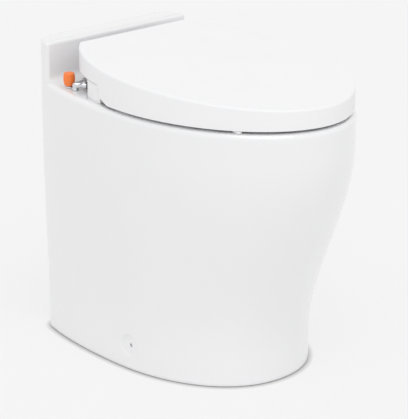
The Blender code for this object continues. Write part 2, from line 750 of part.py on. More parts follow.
def half_width_at(ring, y):
    """The outline's half width at a place behind its widest point."""
    right = ring[:HALF_RING + 1]
    right = right[right[:, 0].argmax():]
    return float(np.interp(y, right[:, 1], right[:, 0]))


def make_lid():
    inner_crown = [at_height(lid_outline(LID_WALL, share), lid_level(LID_WALL, 1 - share ** 2))
                   for share in reversed(LID_CROWN_SHARES)]
    outer_crown = [at_height(lid_outline(0, share), lid_level(0, 1 - share ** 2))
                   for share in LID_CROWN_SHARES]
    middle_z = lid_top(LID_MIDDLE) + LID_CROWN
    rings = [[(0, LID_MIDDLE, middle_z - LID_WALL)], *inner_crown,
             at_height(lid_outline(LID_WALL * 1.5), lid_level(LID_WALL)),
             at_height(lid_outline(LID_WALL), lid_level(LID_WALL * 1.5)),
             at_height(lid_outline(LID_WALL), SKIRT_Z),
             at_height(lid_outline(), SKIRT_Z),
             at_height(lid_outline(), lid_level(LID_ROUND)),
             at_height(lid_outline(LID_ROUND * 0.3), lid_level(LID_ROUND * 0.3)),
             at_height(lid_outline(LID_ROUND), lid_level(0)),
             *outer_crown, [(0, LID_MIDDLE, middle_z)]]
    lid = loft("lid", rings, "white_seat_plastic")
    cut(lid, rear_step("lid_step", COVER_FRONT_Y, SKIRT_Z + REAR_SKIRT_LIFT))
    for hand in (-1, 1):
        roof = lid_top(HINGE_Y) - LID_WALL / 2
        arms = [(HINGE_Y - EYE_RADIUS, roof), (HINGE_Y + EYE_RADIUS * 0.8, roof)]
        add(lid, make_eye("lid_eye", hand, LID_EYE_X, arms))
    cut(lid, *eye_bores(LID_EYE_X, PIN_RADIUS + PLAY))
    return lid


def make_eye(name, hand, inner_x, arms):
    """A hinge eye: a disc round the hinge axis drawn out to the given places along y and z."""
    points = []
    for x in (inner_x, inner_x + EYE_THICK):
        points += [(hand * x, HINGE_Y + dy, HINGE_Z + dz) for dy, dz in circle(EYE_RADIUS, ROUND_SIDES, 0.5)]
        points += [(hand * x, y, z) for y, z in arms]
    return hull(name, points)


def eye_bores(inner_x, radius):
    low, high = inner_x - OVERRUN, inner_x + EYE_THICK + OVERRUN
    return [rod("eye_bore", (hand * low, HINGE_Y, HINGE_Z), (hand * high, HINGE_Y, HINGE_Z), radius,
                sides=ROUND_SIDES) for hand in (-1, 1)]


def seat_top(y):
    return lid_top(y) - LID_WALL - SEAT_UNDER_LID


def seat_outline(inward=0.0):
    rear = LID_REAR_Y - SEAT_REAR_GAP
    return inner_ring(LID_SHAPE, rear + SEAT_INSET, SEAT_CORNER + SEAT_INSET, SEAT_INSET + inward)


def seat_opening(outward=0.0):
    shape = (SEAT_HALF_WIDTH + outward, SEAT_OPENING_Y, SEAT_HALF_LENGTH + outward, 2)
    return oval_toward(seat_outline(), SEAT_OPENING_Y, shape)


def make_seat():
    def below(drop):
        return lambda y: seat_top(y) - drop

    rings = [at_height(seat_outline(), SKIRT_Z), at_height(seat_outline(), below(SEAT_ROUND)),
             at_height(seat_outline(SEAT_ROUND * 0.3), below(SEAT_ROUND * 0.3)),
             at_height(seat_outline(SEAT_ROUND), below(0)),
             at_height(seat_opening(SEAT_ROUND), below(SEAT_ROUND * 0.1)),
             at_height(seat_opening(SEAT_ROUND * 0.3), below(SEAT_ROUND * 0.5)),
             at_height(seat_opening(), below(SEAT_ROUND * 1.2)),
             at_height(seat_opening(), SKIRT_Z)]
    seat = loft("seat_ring", rings, "white_seat_plastic", wrap=True)
    cut(seat, rear_step("seat_step", SEAT_STEP_Y, RIM_Z + SEAT_LIFT))
    rear = LID_REAR_Y - SEAT_REAR_GAP
    low, high = RIM_Z + SEAT_LIFT + GAP, RIM_Z + SEAT_LIFT + EYE_RADIUS * 1.6
    for hand in (-1, 1):
        arms = [(rear - EYE_RADIUS / 4, low), (rear - EYE_RADIUS, high)]
        add(seat, make_eye("seat_eye", hand, EYE_INNER_X, arms))
    cut(seat, *eye_bores(EYE_INNER_X, PIN_RADIUS + PLAY))
    return seat


def make_pads(name, places, low, high):
    """Pairs of pads at shares of the lid's half width and places along y, between two sloping surfaces."""
    for place, (share, y) in enumerate(places):
        for hand in (-1, 1):
            middle = np.array([hand * share * LID_HALF_WIDTH, y])
            square = np.array([(-1, -1), (1, -1), (1, 1), (-1, 1)]) * (PAD_WIDTH / 2, PAD_LENGTH / 2)
            loft(f"{name}_{('front', 'rear')[place]}_{hand_word(hand)}",
                 [at_height(square + middle, low), at_height(square + middle, high)], "white_pad_rubber")


def cover_outline(inward):
    """Wide in front, where it fills the lid's outline, and narrow behind, beside the water fitting."""
    side = inset(whole_ring(half_outline(LID_SHAPE, LID_REAR_Y, LID_CORNER)), COVER_INSET)
    front, step = COVER_FRONT_Y + inward, COVER_STEP_Y - inward
    along = np.linspace(front, step, 5)
    right = [(half_width_at(side, y) - inward, y) for y in along]
    right += [(COVER_NARROW_X - inward, step), (COVER_NARROW_X - inward, COVER_REAR_Y - inward)]
    return np.array(right + [(-x, y) for x, y in reversed(right)])


def nozzle_frame():
    """The nozzle's tip at rest and the direction in which it comes out."""
    tip = Vector((0, COVER_FRONT_Y - NOZZLE_BACK, RIM_Z + NOZZLE_RISE))
    return tip, Vector((0, -math.cos(NOZZLE_TILT), -math.sin(NOZZLE_TILT)))


def make_bidet_base():
    plate = loft("bidet_base", [at_height(cover_outline(0), RIM_Z + GAP), at_height(cover_outline(0), BASE_TOP)],
                 "white_base_plastic")
    for hand in (-1, 1):
        hole = Vector((hand * BOLT_X, BOLT_Y, RIM_Z))
        cut(plate, rod("base_hole", hole - Vector((0, 0, OVERRUN)),
                       hole + Vector((0, 0, BASE_THICK + OVERRUN)), BOLT_RADIUS + PLAY))
    return plate


def make_bidet_cover():
    levels = ((COVER_TOP - COVER_WALL, COVER_WALL), (COVER_LOW, COVER_WALL), (COVER_LOW, 0),
              (COVER_TOP - COVER_ROUND, 0), (COVER_TOP - COVER_ROUND * 0.3, COVER_ROUND * 0.3),
              (COVER_TOP, COVER_ROUND))
    cover = loft("bidet_cover", [at_height(cover_outline(d), z) for z, d in levels], "white_base_plastic")
    for hand in (-1, 1):
        arms = [(COVER_REAR_Y - COVER_WALL * 0.6, HINGE_Z - EYE_RADIUS * 0.7),
                (COVER_REAR_Y - COVER_WALL * 0.6, COVER_TOP - COVER_ROUND * 1.1)]
        add(cover, make_eye("lug", hand, LUG_X, arms))
    cut(cover, *eye_bores(LUG_X, PIN_RADIUS + GAP))
    tip, out = nozzle_frame()
    cut(cover, rod("nozzle_hole", tip - out * (COVER_WALL * 3), tip + out * OVERRUN,
                   NOZZLE_RADIUS + GUIDE_WALL))
    nut, inward = fitting_line()
    cut(cover, rod("inlet_hole", nut + inward * GAP, nut + inward * (STUB_LENGTH + OVERRUN), STUB_RADIUS + PLAY))
    return cover


def make_hinge_pins():
    for hand in (-1, 1):
        start = (hand * (EYE_INNER_X - GAP - PIN_HEAD), HINGE_Y, HINGE_Z)
        length = LID_EYE_X + EYE_THICK + GAP * 5 - EYE_INNER_X + PIN_HEAD
        profile = [(PIN_HEAD_RADIUS, 0), (PIN_HEAD_RADIUS, PIN_HEAD), (PIN_RADIUS, PIN_HEAD),
                   (PIN_RADIUS, length)]
        turned(f"hinge_pin_{hand_word(hand)}", profile, start, (hand, 0, 0), "stainless", SMALL_SIDES)


def make_deck_bolts():
    under = RIM_Z - DECK_THICK - GAP
    for hand in (-1, 1):
        x, word = hand * BOLT_X, hand_word(hand)
        profile = [(BOLT_HEAD_RADIUS * 0.8, 0), (BOLT_HEAD_RADIUS, BOLT_HEAD * 0.4),
                   (BOLT_HEAD_RADIUS, BOLT_HEAD), (BOLT_RADIUS, BOLT_HEAD), (BOLT_RADIUS, BOLT_LENGTH)]
        turned(f"deck_bolt_{word}", profile, (x, BOLT_Y, BASE_TOP + GAP + BOLT_HEAD), (0, 0, -1), "stainless",
               SMALL_SIDES)
        low = under - WASHER_THICK
        pipe(f"deck_washer_{word}", (x, BOLT_Y, low), (x, BOLT_Y, under), WASHER_RADIUS, BOLT_RADIUS + GAP,
             "black_rubber", SMALL_SIDES)
        nut = rod(f"deck_nut_{word}", (x, BOLT_Y, low - GAP - NUT_HEIGHT), (x, BOLT_Y, low - GAP),
                  NUT_RADIUS, "white_base_plastic", 6)
        cut(nut, rod("nut_bore", (x, BOLT_Y, low - NUT_HEIGHT - OVERRUN), (x, BOLT_Y, low + OVERRUN),
                     BOLT_RADIUS + GAP))


def make_bidet_nozzle():
    tip, out = nozzle_frame()
    back = tip - out * NOZZLE_LENGTH
    profile = [(NOZZLE_RADIUS, 0), (NOZZLE_RADIUS, NOZZLE_LENGTH - NOZZLE_TIP_ROUND),
               (NOZZLE_RADIUS - NOZZLE_TIP_ROUND, NOZZLE_LENGTH)]
    nozzle = turned("bidet_nozzle", profile, back, out, "grey_plastic", SMALL_SIDES)
    jet = tip - out * NOZZLE_JET_SETBACK
    cut(nozzle, rod("jet", jet, jet + Vector((0, 0, NOZZLE_RADIUS + OVERRUN)), NOZZLE_JET_RADIUS, sides=THIN_SIDES))
    set_origin(nozzle, tip)
    return nozzle


def make_nozzle_guide():
    """A tube round the nozzle, closed behind but for the hose's bore, on a foot that stands on the base."""
    tip, out = nozzle_frame()
    front = tip - out * GUIDE_SETBACK
    back = front - out * GUIDE_LENGTH
    outer, inner = NOZZLE_RADIUS + GUIDE_WALL, NOZZLE_RADIUS + GAP
    profile = [(outer, 0), (outer, GUIDE_LENGTH), (inner, GUIDE_LENGTH), (inner, GUIDE_WALL),
               (FEED_HOSE_BORE, GUIDE_WALL), (FEED_HOSE_BORE, 0)]
    guide = turned("nozzle_guide", profile, back, out, "grey_plastic", SMALL_SIDES, wrap=True)
    middle = (front + back) / 2
    low = (-GUIDE_FOOT_HALF_WIDTH, middle.y - GUIDE_FOOT_LENGTH / 2, BASE_TOP + GAP)
    high = (GUIDE_FOOT_HALF_WIDTH, middle.y + GUIDE_FOOT_LENGTH / 2, middle.z - outer * 0.5)
    foot = box("guide_foot", low, high)
    cut(foot, rod("foot_bore", back - out * OVERRUN, front + out * OVERRUN, (inner + outer) / 2))
    add(guide, foot)
    return guide


def fitting_line():
    """The nut's place and the direction in which the barrel enters the bidet base."""
    height = RIM_Z + FITTING_RISE
    nut, elbow = Vector((*FITTING_NUT, height)), Vector((*FITTING_ELBOW, height))
    return nut, (nut - elbow).normalized()


def make_feed_hose():
    """From the inlet's stub along the bidet base to the rear end of the nozzle's guide."""
    nut, inward = fitting_line()
    start = nut + inward * (STUB_LENGTH + GAP)
    tip, out = nozzle_frame()
    end = tip - out * (GUIDE_SETBACK + GUIDE_LENGTH + GAP)
    bend = FEED_HOSE_RADIUS * 4
    middles = [Vector((-BOLT_X - BOLT_HEAD_RADIUS * 2, BOLT_Y + bend * 0.5, start.z)),
               Vector((-BOLT_X, BOLT_Y + BOLT_HEAD_RADIUS + bend * 0.7, (start.z + end.z) / 2)),
               Vector((-bend * 2, end.y + bend, end.z + FEED_HOSE_RADIUS * 0.5))]
    path = smooth_path(start, inward, middles, end, out, bend * 0.5, 4)
    return swept("feed_hose", path, FEED_HOSE_RADIUS, FEED_HOSE_BORE, "clear_hose", THIN_SIDES)


def make_water_fitting():
    nut, inward = fitting_line()
    elbow = Vector((*FITTING_ELBOW, nut.z))
    port = Vector((*FITTING_PORT, RIM_Z + GAP))
    foot_z = RIM_Z + GAP
    body = rod("water_fitting", nut - inward * (UNION_LENGTH + GAP), elbow, BARREL_RADIUS, "chrome", ROUND_SIDES)
    post = rod("elbow", (elbow.x, elbow.y, foot_z), (elbow.x, elbow.y, RIM_Z + ELBOW_RISE), ELBOW_RADIUS,
               sides=ROUND_SIDES)
    run = (port - Vector((elbow.x, elbow.y, foot_z))).normalized()
    aside = Vector((-run.y, run.x, 0)) * ARM_HALF_WIDTH
    ends = [Vector((elbow.x, elbow.y, foot_z)), port]
    arm = hull("arm", [end + side + Vector((0, 0, z)) for end in ends for side in (aside, -aside)
                       for z in (PLAY, ARM_THICK)])
    ring = rod("port", port, port + Vector((0, 0, ARM_THICK + GAP)), PORT_RADIUS, sides=ROUND_SIDES)
    middle = lever_pivot()
    boss = rod("boss", (middle.x, middle.y, nut.z), (middle.x, middle.y, RIM_Z + BOSS_RISE), BOSS_RADIUS,
               sides=SMALL_SIDES)
    add(body, post, arm, ring, boss)
    cut(body, rod("port_bore", port + Vector((0, 0, PLAY * 2)), port + Vector((0, 0, ARM_THICK + OVERRUN)),
                  PORT_BORE, sides=ROUND_SIDES))
    stub_end = nut + inward * STUB_LENGTH
    union = rod("inlet_union", nut - inward * UNION_LENGTH, nut, UNION_RADIUS, "chrome", 6)
    add(union, rod("stub", nut - inward * UNION_LENGTH / 2, stub_end, STUB_RADIUS))
    return body, union


def lever_pivot():
    nut, inward = fitting_line()
    return nut - inward * (UNION_LENGTH + BOSS_RADIUS + GAP * 2)


def make_lever():
    pivot = lever_pivot()
    low = RIM_Z + BOSS_RISE + GAP
    points = []
    for z in (low, low + LEVER_THICK):
        points += [(pivot.x + x, pivot.y + y, z) for x, y in circle(LEVER_HUB_RADIUS, SMALL_SIDES)]
        points += [(pivot.x - LEVER_LENGTH, pivot.y + side * LEVER_WIDTH / 2, z) for side in (-1, 1)]
    lever = hull("valve_lever", points, "chrome")
    top = Vector((pivot.x, pivot.y, low + LEVER_THICK * 0.5))
    add(lever, rod("lever_screw", top, top + Vector((0, 0, LEVER_THICK * 0.5 + LEVER_SCREW_RISE)),
                   LEVER_SCREW_RADIUS, sides=THIN_SIDES))
    return lever


def make_plug():
    """The orange plug, a barrel standing on the port with its stem in the bore."""
    rest = Vector((*FITTING_PORT, RIM_Z + GAP + ARM_THICK + 2 * GAP))
    stem = ARM_THICK - PLAY * 3
    profile = [(PLUG_STEM_RADIUS, -stem), (PLUG_STEM_RADIUS, 0)]
    profile += [(PLUG_RADIUS * across, PLUG_HEIGHT * up) for across, up in PLUG_SHARES]
    plug = turned("orange_plug", profile, rest, (0, 0, 1), "orange_plastic")
    set_origin(plug, rest)
    return plug


def make_rinse_nozzle():
    """A flanged spray inlet through the rear wall of the bowl, its nut and its tail behind."""
    front, back, height = rinse_seats()
    end = RINSE_FLANGE + GAP + back - front + RINSE_TAIL
    profile = [(RINSE_FLANGE_RADIUS * 0.6, 0), (RINSE_FLANGE_RADIUS, RINSE_FLANGE * 0.6),
               (RINSE_FLANGE_RADIUS, RINSE_FLANGE), (RINSE_RADIUS, RINSE_FLANGE), (RINSE_RADIUS, end),
               (RINSE_BORE, end), (RINSE_BORE, RINSE_FLANGE), (RINSE_BORE * 0.6, RINSE_FLANGE),
               (RINSE_BORE * 0.6, 0)]
    turned("rinse_nozzle", profile, (0, front - GAP - RINSE_FLANGE, height), (0, 1, 0), "grey_plastic",
           SMALL_SIDES, wrap=True)
    low, high = back + GAP, back + GAP + RINSE_FLANGE * 2
    nut = rod("rinse_nut", (0, low, height), (0, high, height), RINSE_FLANGE_RADIUS, "grey_plastic", 6)
    cut(nut, rod("nut_bore", (0, low - OVERRUN, height), (0, high + OVERRUN, height), RINSE_RADIUS + GAP))


def make_sump_sleeve():
    """The rubber sleeve that joins the china spigot to the pump's neck, and its two clamps."""
    inner = (THROAT_RADIUS + BOWL_WALL + GAP) / math.cos(math.pi / ROUND_SIDES)
    low, high = PUMP_NECK_TOP - SLEEVE_LAP, SPIGOT_Z + SLEEVE_LAP * 0.8
    sleeve = pipe("sump_sleeve", (0, THROAT_Y, low), (0, THROAT_Y, high), inner + SLEEVE_WALL, inner,
                  "black_rubber")
    for word, centre in (("lower", low + CLAMP_WIDTH * 0.6), ("upper", high - CLAMP_WIDTH * 0.6)):
        pipe(f"sleeve_clamp_{word}", (0, THROAT_Y, centre - CLAMP_WIDTH / 2),
             (0, THROAT_Y, centre + CLAMP_WIDTH / 2), inner + SLEEVE_WALL + GAP + CLAMP_THICK,
             inner + SLEEVE_WALL + GAP, "stainless")
    return sleeve


def make_pump():
    axis = (0, 1, 0)
    length = CHAMBER_REAR_Y - CHAMBER_FRONT_Y
    inner = CHAMBER_RADIUS - CHAMBER_WALL
    profile = [(0, 0), (inner, 0), (CHAMBER_RADIUS, CHAMBER_WALL * 0.8), (CHAMBER_RADIUS, length), (0, length)]
    chamber = turned("macerator_housing", profile, (0, CHAMBER_FRONT_Y, PUMP_Z), axis, "black_plastic")
    neck = THROAT_RADIUS + BOWL_WALL
    add(chamber, rod("neck", (0, THROAT_Y, PUMP_Z), (0, THROAT_Y, PUMP_NECK_TOP), neck, sides=ROUND_SIDES))
    outlet_x = CHAMBER_RADIUS + OUTLET_LENGTH
    add(chamber, rod("outlet", (inner * 0.5, OUTLET_Y, PUMP_Z), (outlet_x, OUTLET_Y, PUMP_Z), OUTLET_RADIUS,
                     sides=PIPE_SIDES, turn_share=0.5))
    cut(chamber, rod("cavity", (0, CHAMBER_FRONT_Y + CHAMBER_WALL, PUMP_Z), (0, CHAMBER_REAR_Y + OVERRUN, PUMP_Z),
                     inner, sides=ROUND_SIDES, turn_share=0.5))
    cut(chamber, rod("neck_bore", (0, THROAT_Y, PUMP_Z), (0, THROAT_Y, PUMP_NECK_TOP + OVERRUN),
                     neck - NECK_WALL, sides=ROUND_SIDES))
    cut(chamber, rod("outlet_bore", (inner * 0.5, OUTLET_Y, PUMP_Z), (outlet_x + OVERRUN, OUTLET_Y, PUMP_Z),
                     OUTLET_RADIUS - OUTLET_WALL, sides=PIPE_SIDES, turn_share=0.5))
    make_rotor()
    adapter = turned("pump_adapter", [(ADAPTER_RADIUS, 0), (ADAPTER_RADIUS, ADAPTER_THICK),
                                      (SEAL_RADIUS + GAP, ADAPTER_THICK), (SEAL_RADIUS + GAP, 0)],
                     (0, ADAPTER_Y, PUMP_Z), axis, "black_plastic", wrap=True)
    pipe("shaft_seal", (0, ADAPTER_Y + GAP, PUMP_Z), (0, ADAPTER_Y + SEAL_LENGTH, PUMP_Z), SEAL_RADIUS,
         SHAFT_RADIUS + GAP, "black_rubber")
    make_motor()
    for quarter in range(4):
        turn = math.radians(45 + 90 * quarter)
        x, z = PUMP_BOLT_CIRCLE * math.cos(turn), PUMP_Z + PUMP_BOLT_CIRCLE * math.sin(turn)
        ear_low = CHAMBER_REAR_Y - ADAPTER_THICK
        add(chamber, rod("ear", (x, ear_low, z), (x, CHAMBER_REAR_Y - GAP, z), PUMP_BOLT_RADIUS * 2))
        hole = rod("adapter_hole", (x, ear_low - OVERRUN, z), (x, MOTOR_Y + OVERRUN, z), PUMP_BOLT_RADIUS)
        cut(chamber, hole)
        cut(adapter, hole)


def make_rotor():
    """Cutter, impeller, shaft and armature, all on the motor's axis."""
    front = CUTTER_Y - CUTTER_THICK
    shaft_end = MOTOR_END_Y - MOTOR_WALL
    shaft = rod("motor_shaft", (0, front - GAP, PUMP_Z), (0, shaft_end, PUMP_Z), SHAFT_RADIUS, "stainless")
    bore = SHAFT_RADIUS + GAP
    blade = rod("cutter", (0, CUTTER_Y, PUMP_Z), (0, CUTTER_Y + CUTTER_THICK, PUMP_Z), HUB_RADIUS, "stainless")
    for angle in (0, math.pi / 2):
        across = Vector((math.cos(angle), 0, math.sin(angle))) * CUTTER_RADIUS
        edge = Vector((-math.sin(angle), 0, math.cos(angle))) * CUTTER_WIDTH / 2
        middle = Vector((0, CUTTER_Y + GAP, PUMP_Z))
        thick = Vector((0, CUTTER_THICK - 2 * GAP, 0))
        corners = [across + edge * 0.4, across - edge * 0.4, -across + edge * 0.4, -across - edge * 0.4,
                   edge, -edge]
        add(blade, hull("blade", [middle + c + t for c in corners for t in (Vector(), thick)]))
    cut(blade, rod("cutter_bore", (0, CUTTER_Y - OVERRUN, PUMP_Z), (0, CUTTER_Y + CUTTER_THICK + OVERRUN, PUMP_Z),
                   bore))
    blade.name = "macerator_cutter"
    disc = rod("impeller", (0, IMPELLER_Y, PUMP_Z), (0, IMPELLER_Y + IMPELLER_THICK, PUMP_Z), IMPELLER_RADIUS,
               "black_plastic", ROUND_SIDES)
    add(disc, rod("impeller_hub", (0, IMPELLER_Y - VANE_HEIGHT, PUMP_Z),
                  (0, IMPELLER_Y + IMPELLER_THICK / 2, PUMP_Z), HUB_RADIUS))
    for i in range(VANES):
        angle = 2 * math.pi * (i + 0.5) / VANES
        along = Vector((math.cos(angle), 0, math.sin(angle)))
        edge = Vector((-math.sin(angle), 0, math.cos(angle))) * VANE_THICK / 2
        start = Vector((0, IMPELLER_Y - VANE_HEIGHT + GAP, PUMP_Z))
        deep = Vector((0, VANE_HEIGHT + IMPELLER_THICK / 2, 0))
        ends = [along * HUB_RADIUS * 0.7, along * IMPELLER_RADIUS * 0.95]
        add(disc, hull("vane", [start + e + side + d for e in ends for side in (edge, -edge)
                                for d in (Vector(), deep)]))
    cut(disc, rod("impeller_bore", (0, IMPELLER_Y - VANE_HEIGHT - OVERRUN, PUMP_Z),
                  (0, IMPELLER_Y + IMPELLER_THICK + OVERRUN, PUMP_Z), bore))
    middle = MOTOR_Y + MOTOR_LENGTH / 2
    pipe("motor_armature", (0, middle - ROTOR_LENGTH / 2, PUMP_Z), (0, middle + ROTOR_LENGTH / 2, PUMP_Z),
         ROTOR_RADIUS, bore, "copper")
    return shaft


def make_motor():
    axis = (0, 1, 0)
    inner = MOTOR_RADIUS - MOTOR_WALL
    turned("motor_can", [(MOTOR_RADIUS, 0), (MOTOR_RADIUS, MOTOR_LENGTH), (inner, MOTOR_LENGTH),
                         (inner, MOTOR_WALL), (SHAFT_RADIUS * 2, MOTOR_WALL), (SHAFT_RADIUS * 2, 0)],
           (0, MOTOR_Y, PUMP_Z), axis, "painted_motor", wrap=True)
    end = MOTOR_END_Y + GAP
    turned("motor_end_cap", [(inner - GAP, -MOTOR_WALL), (inner - GAP, 0), (MOTOR_RADIUS, 0),
                             (MOTOR_RADIUS, END_CAP_THICK * 0.6),
                             (MOTOR_RADIUS * 0.8, END_CAP_THICK), (0, END_CAP_THICK)],
           (0, end, PUMP_Z), axis, "black_plastic")


def make_cradle():
    """A floor plate with two posts that hold the motor from below, and the two straps over it."""
    plate = box("pump_cradle", (-CRADLE_HALF_WIDTH, CRADLE_FRONT_Y, 0),
                (CRADLE_HALF_WIDTH, CRADLE_REAR_Y, CRADLE_THICK), "stainless")
    under = PUMP_Z - MOTOR_RADIUS * 0.6
    for word, y in (("front", CRADLE_FRONT_Y), ("rear", CRADLE_REAR_Y - CRADLE_POST)):
        saddle = box("saddle", (-MOTOR_RADIUS, y, CRADLE_THICK / 2), (MOTOR_RADIUS, y + CRADLE_POST, under))
        cut(saddle, rod("saddle_bore", (0, y - OVERRUN, PUMP_Z), (0, y + CRADLE_POST + OVERRUN, PUMP_Z),
                        MOTOR_RADIUS + GAP, sides=ROUND_SIDES))
        add(plate, saddle)
        strap = pipe(f"motor_strap_{word}", (0, y, PUMP_Z), (0, y + CRADLE_POST, PUMP_Z),
                     MOTOR_RADIUS + GAP + CLAMP_THICK, MOTOR_RADIUS + GAP, "stainless")
        cut(strap, box("strap_half", (-MOTOR_RADIUS * 2, y - OVERRUN, PUMP_Z - MOTOR_RADIUS * 2),
                       (MOTOR_RADIUS * 2, y + CRADLE_POST + OVERRUN, under + GAP)))
    for hand in (-1, 1):
        for y in (CRADLE_FRONT_Y + FLOOR_HOLE_INSET, CRADLE_REAR_Y - FLOOR_HOLE_INSET):
            floor_hole(plate, hand * (CRADLE_HALF_WIDTH - FLOOR_HOLE_INSET), y, CRADLE_THICK)
    return plate


def floor_hole(target, x, y, thick):
    cut(target, rod("floor_hole", (x, y, -OVERRUN), (x, y, thick + OVERRUN), FLOOR_HOLE_RADIUS, sides=THIN_SIDES))


def make_discharge():
    """From the pump's outlet: an elbow to the rear, the duckbill valve and the ridged hose tail."""
    inner = OUTLET_RADIUS - OUTLET_WALL
    start_x = CHAMBER_RADIUS + OUTLET_LENGTH + GAP
    flange_y = JOKER_Y
    turn = [Vector((start_x, OUTLET_Y, PUMP_Z))]
    for step in range(ELBOW_STEPS):
        angle = math.pi / 2 * step / (ELBOW_STEPS - 1)
        turn.append(Vector((ELBOW_X - ELBOW_BEND + ELBOW_BEND * math.sin(angle),
                            OUTLET_Y + ELBOW_BEND - ELBOW_BEND * math.cos(angle), PUMP_Z)))
    turn.append(Vector((ELBOW_X, flange_y, PUMP_Z)))
    swept("discharge_elbow", turn, OUTLET_RADIUS, inner, "black_plastic", PIPE_SIDES)
    collar = OUTLET_RADIUS + GAP
    join = CHAMBER_RADIUS + OUTLET_LENGTH
    sleeve = collar / math.cos(math.pi / PIPE_SIDES)
    pipe("outlet_sleeve", (join - OUTLET_RADIUS * 0.6, OUTLET_Y, PUMP_Z),
         (ELBOW_X - ELBOW_BEND, OUTLET_Y, PUMP_Z), sleeve + OUTLET_WALL, sleeve, "black_rubber", PIPE_SIDES)
    joker_y = flange_y + GAP
    bill = [(OUTLET_RADIUS, 0), (OUTLET_RADIUS, JOKER_FLANGE), (inner - GAP, JOKER_FLANGE),
            (inner - GAP, JOKER_LENGTH * 0.5), (JOKER_LIP, JOKER_LENGTH), (JOKER_LIP - JOKER_WALL, JOKER_LENGTH),
            (inner - JOKER_WALL, JOKER_LENGTH * 0.5), (inner - JOKER_WALL, 0)]
    turned("duckbill_valve", bill, (ELBOW_X, joker_y, PUMP_Z), (0, 1, 0), "black_rubber", PIPE_SIDES, wrap=True)
    tail_y = joker_y + JOKER_FLANGE + GAP
    profile = [(OUTLET_RADIUS, 0), (OUTLET_RADIUS, BARB_LENGTH * 0.3)]
    pitch = BARB_LENGTH * 0.65 / BARBS
    for i in range(BARBS):
        y = BARB_LENGTH * 0.35 + i * pitch
        profile += [(OUTLET_RADIUS, y), (OUTLET_RADIUS + BARB_RIDGE, y), (OUTLET_RADIUS, y + pitch * 0.7)]
    profile += [(OUTLET_RADIUS, BARB_LENGTH), (inner, BARB_LENGTH), (inner, 0)]
    turned("discharge_tail", profile, (ELBOW_X, tail_y, PUMP_Z), (0, 1, 0), "black_plastic", PIPE_SIDES, wrap=True)
    middle = joker_y + JOKER_FLANGE / 2
    pipe("discharge_union", (ELBOW_X, middle - UNION_NUT_LENGTH / 2, PUMP_Z),
         (ELBOW_X, middle + UNION_NUT_LENGTH / 2, PUMP_Z), collar + UNION_NUT_WALL, collar, "black_plastic", PIPE_SIDES)


def make_service_bracket():
    """An upright sheet beside the pump, its foot on the floor, and the control module on it."""
    panel = box("service_bracket", (PANEL_X, PANEL_FRONT_Y, 0),
                (PANEL_X + PANEL_THICK, PANEL_REAR_Y, PANEL_TOP), "stainless")
    foot_x = PANEL_X + PANEL_FOOT
    add(panel, box("panel_foot", (PANEL_X + PANEL_THICK / 2, PANEL_FRONT_Y + GAP, 0),
                   (foot_x, PANEL_REAR_Y - GAP, PANEL_THICK)))
    for y in (PANEL_FRONT_Y + FLOOR_HOLE_INSET, PANEL_REAR_Y - FLOOR_HOLE_INSET):
        floor_hole(panel, foot_x - FLOOR_HOLE_INSET, y, PANEL_THICK)
    face = PANEL_X + PANEL_THICK + GAP
    middle = (PANEL_FRONT_Y + PANEL_REAR_Y) / 2
    front, back = middle - MODULE_LENGTH / 2, middle + MODULE_LENGTH / 2
    box("control_module", (face, front, MODULE_LOW), (face + MODULE_DEPTH, back, MODULE_LOW + MODULE_HEIGHT),
        "black_plastic")


def valve_centre():
    return Vector((PANEL_X + PANEL_THICK + GAP + VALVE_BODY / 2, VALVE_Y, VALVE_Z))


def make_rinse_valve():
    """The solenoid valve on the bracket: body with two ports along Y, coil on top, plunger inside."""
    centre = valve_centre()
    half = VALVE_BODY / 2
    body = box("rinse_valve", centre - Vector((half, half, half)), centre + Vector((half, half, half)),
               "white_base_plastic")
    for side in (-1, 1):
        start = centre + Vector((0, side * half * 0.5, 0))
        end = centre + Vector((0, side * (half + VALVE_PORT_LENGTH), 0))
        add(body, rod("port", start, end, RINSE_RADIUS))
        cut(body, rod("port_bore", centre + Vector((0, side * half * 0.4, 0)),
                      end + Vector((0, side * OVERRUN, 0)), RINSE_BORE))
    seat_z = centre.z + half
    cut(body, rod("plunger_well", (centre.x, centre.y, seat_z - PLUNGER_DEPTH),
                  (centre.x, centre.y, seat_z + OVERRUN), PLUNGER_RADIUS + GAP))
    base = seat_z + GAP
    well = PLUNGER_RADIUS + GAP
    roof = COIL_HEIGHT - COIL_ROOF
    coil = turned("valve_coil", [(0, roof), (well, roof), (well, 0), (COIL_RADIUS, 0), (COIL_RADIUS, COIL_HEIGHT),
                                 (0, COIL_HEIGHT)], (centre.x, centre.y, base), (0, 0, 1), "black_plastic", SMALL_SIDES)
    low = seat_z - PLUNGER_DEPTH + GAP
    plunger = rod("valve_plunger", (centre.x, centre.y, low), (centre.x, centre.y, low + PLUNGER_LENGTH),
                  PLUNGER_RADIUS, "stainless")
    return body, coil, plunger


def make_rinse_hose():
    """From the valve's front port up behind the bowl, slipped over the port and over the nozzle's tail."""
    centre = valve_centre()
    front, back, height = rinse_seats()
    start = centre + Vector((0, -VALVE_BODY / 2 - VALVE_PORT_LENGTH * 0.4, 0))
    end = Vector((0, back + RINSE_TAIL * 0.5, height))
    bore = (RINSE_RADIUS + GAP) / math.cos(math.pi / HOSE_SIDES)
    bend = bore * 4
    middles = [start + Vector((0, -bend * 1.2, bend * 0.25)), start + Vector((bend * 0.15, -bend * 1.1, bend * 1.4)),
               Vector(((start.x + end.x) * 0.6, end.y + bend * 0.9, (start.z + end.z) * 0.55)),
               end + Vector((-bend * 0.3, bend * 1.35, -bend * 0.3))]
    path = smooth_path(start, (0, -1, 0), middles, end, (0, -1, 0), RINSE_TAIL * 0.6, 4)
    return swept("rinse_hose", path, bore + HOSE_WALL, bore, "clear_hose", HOSE_SIDES)


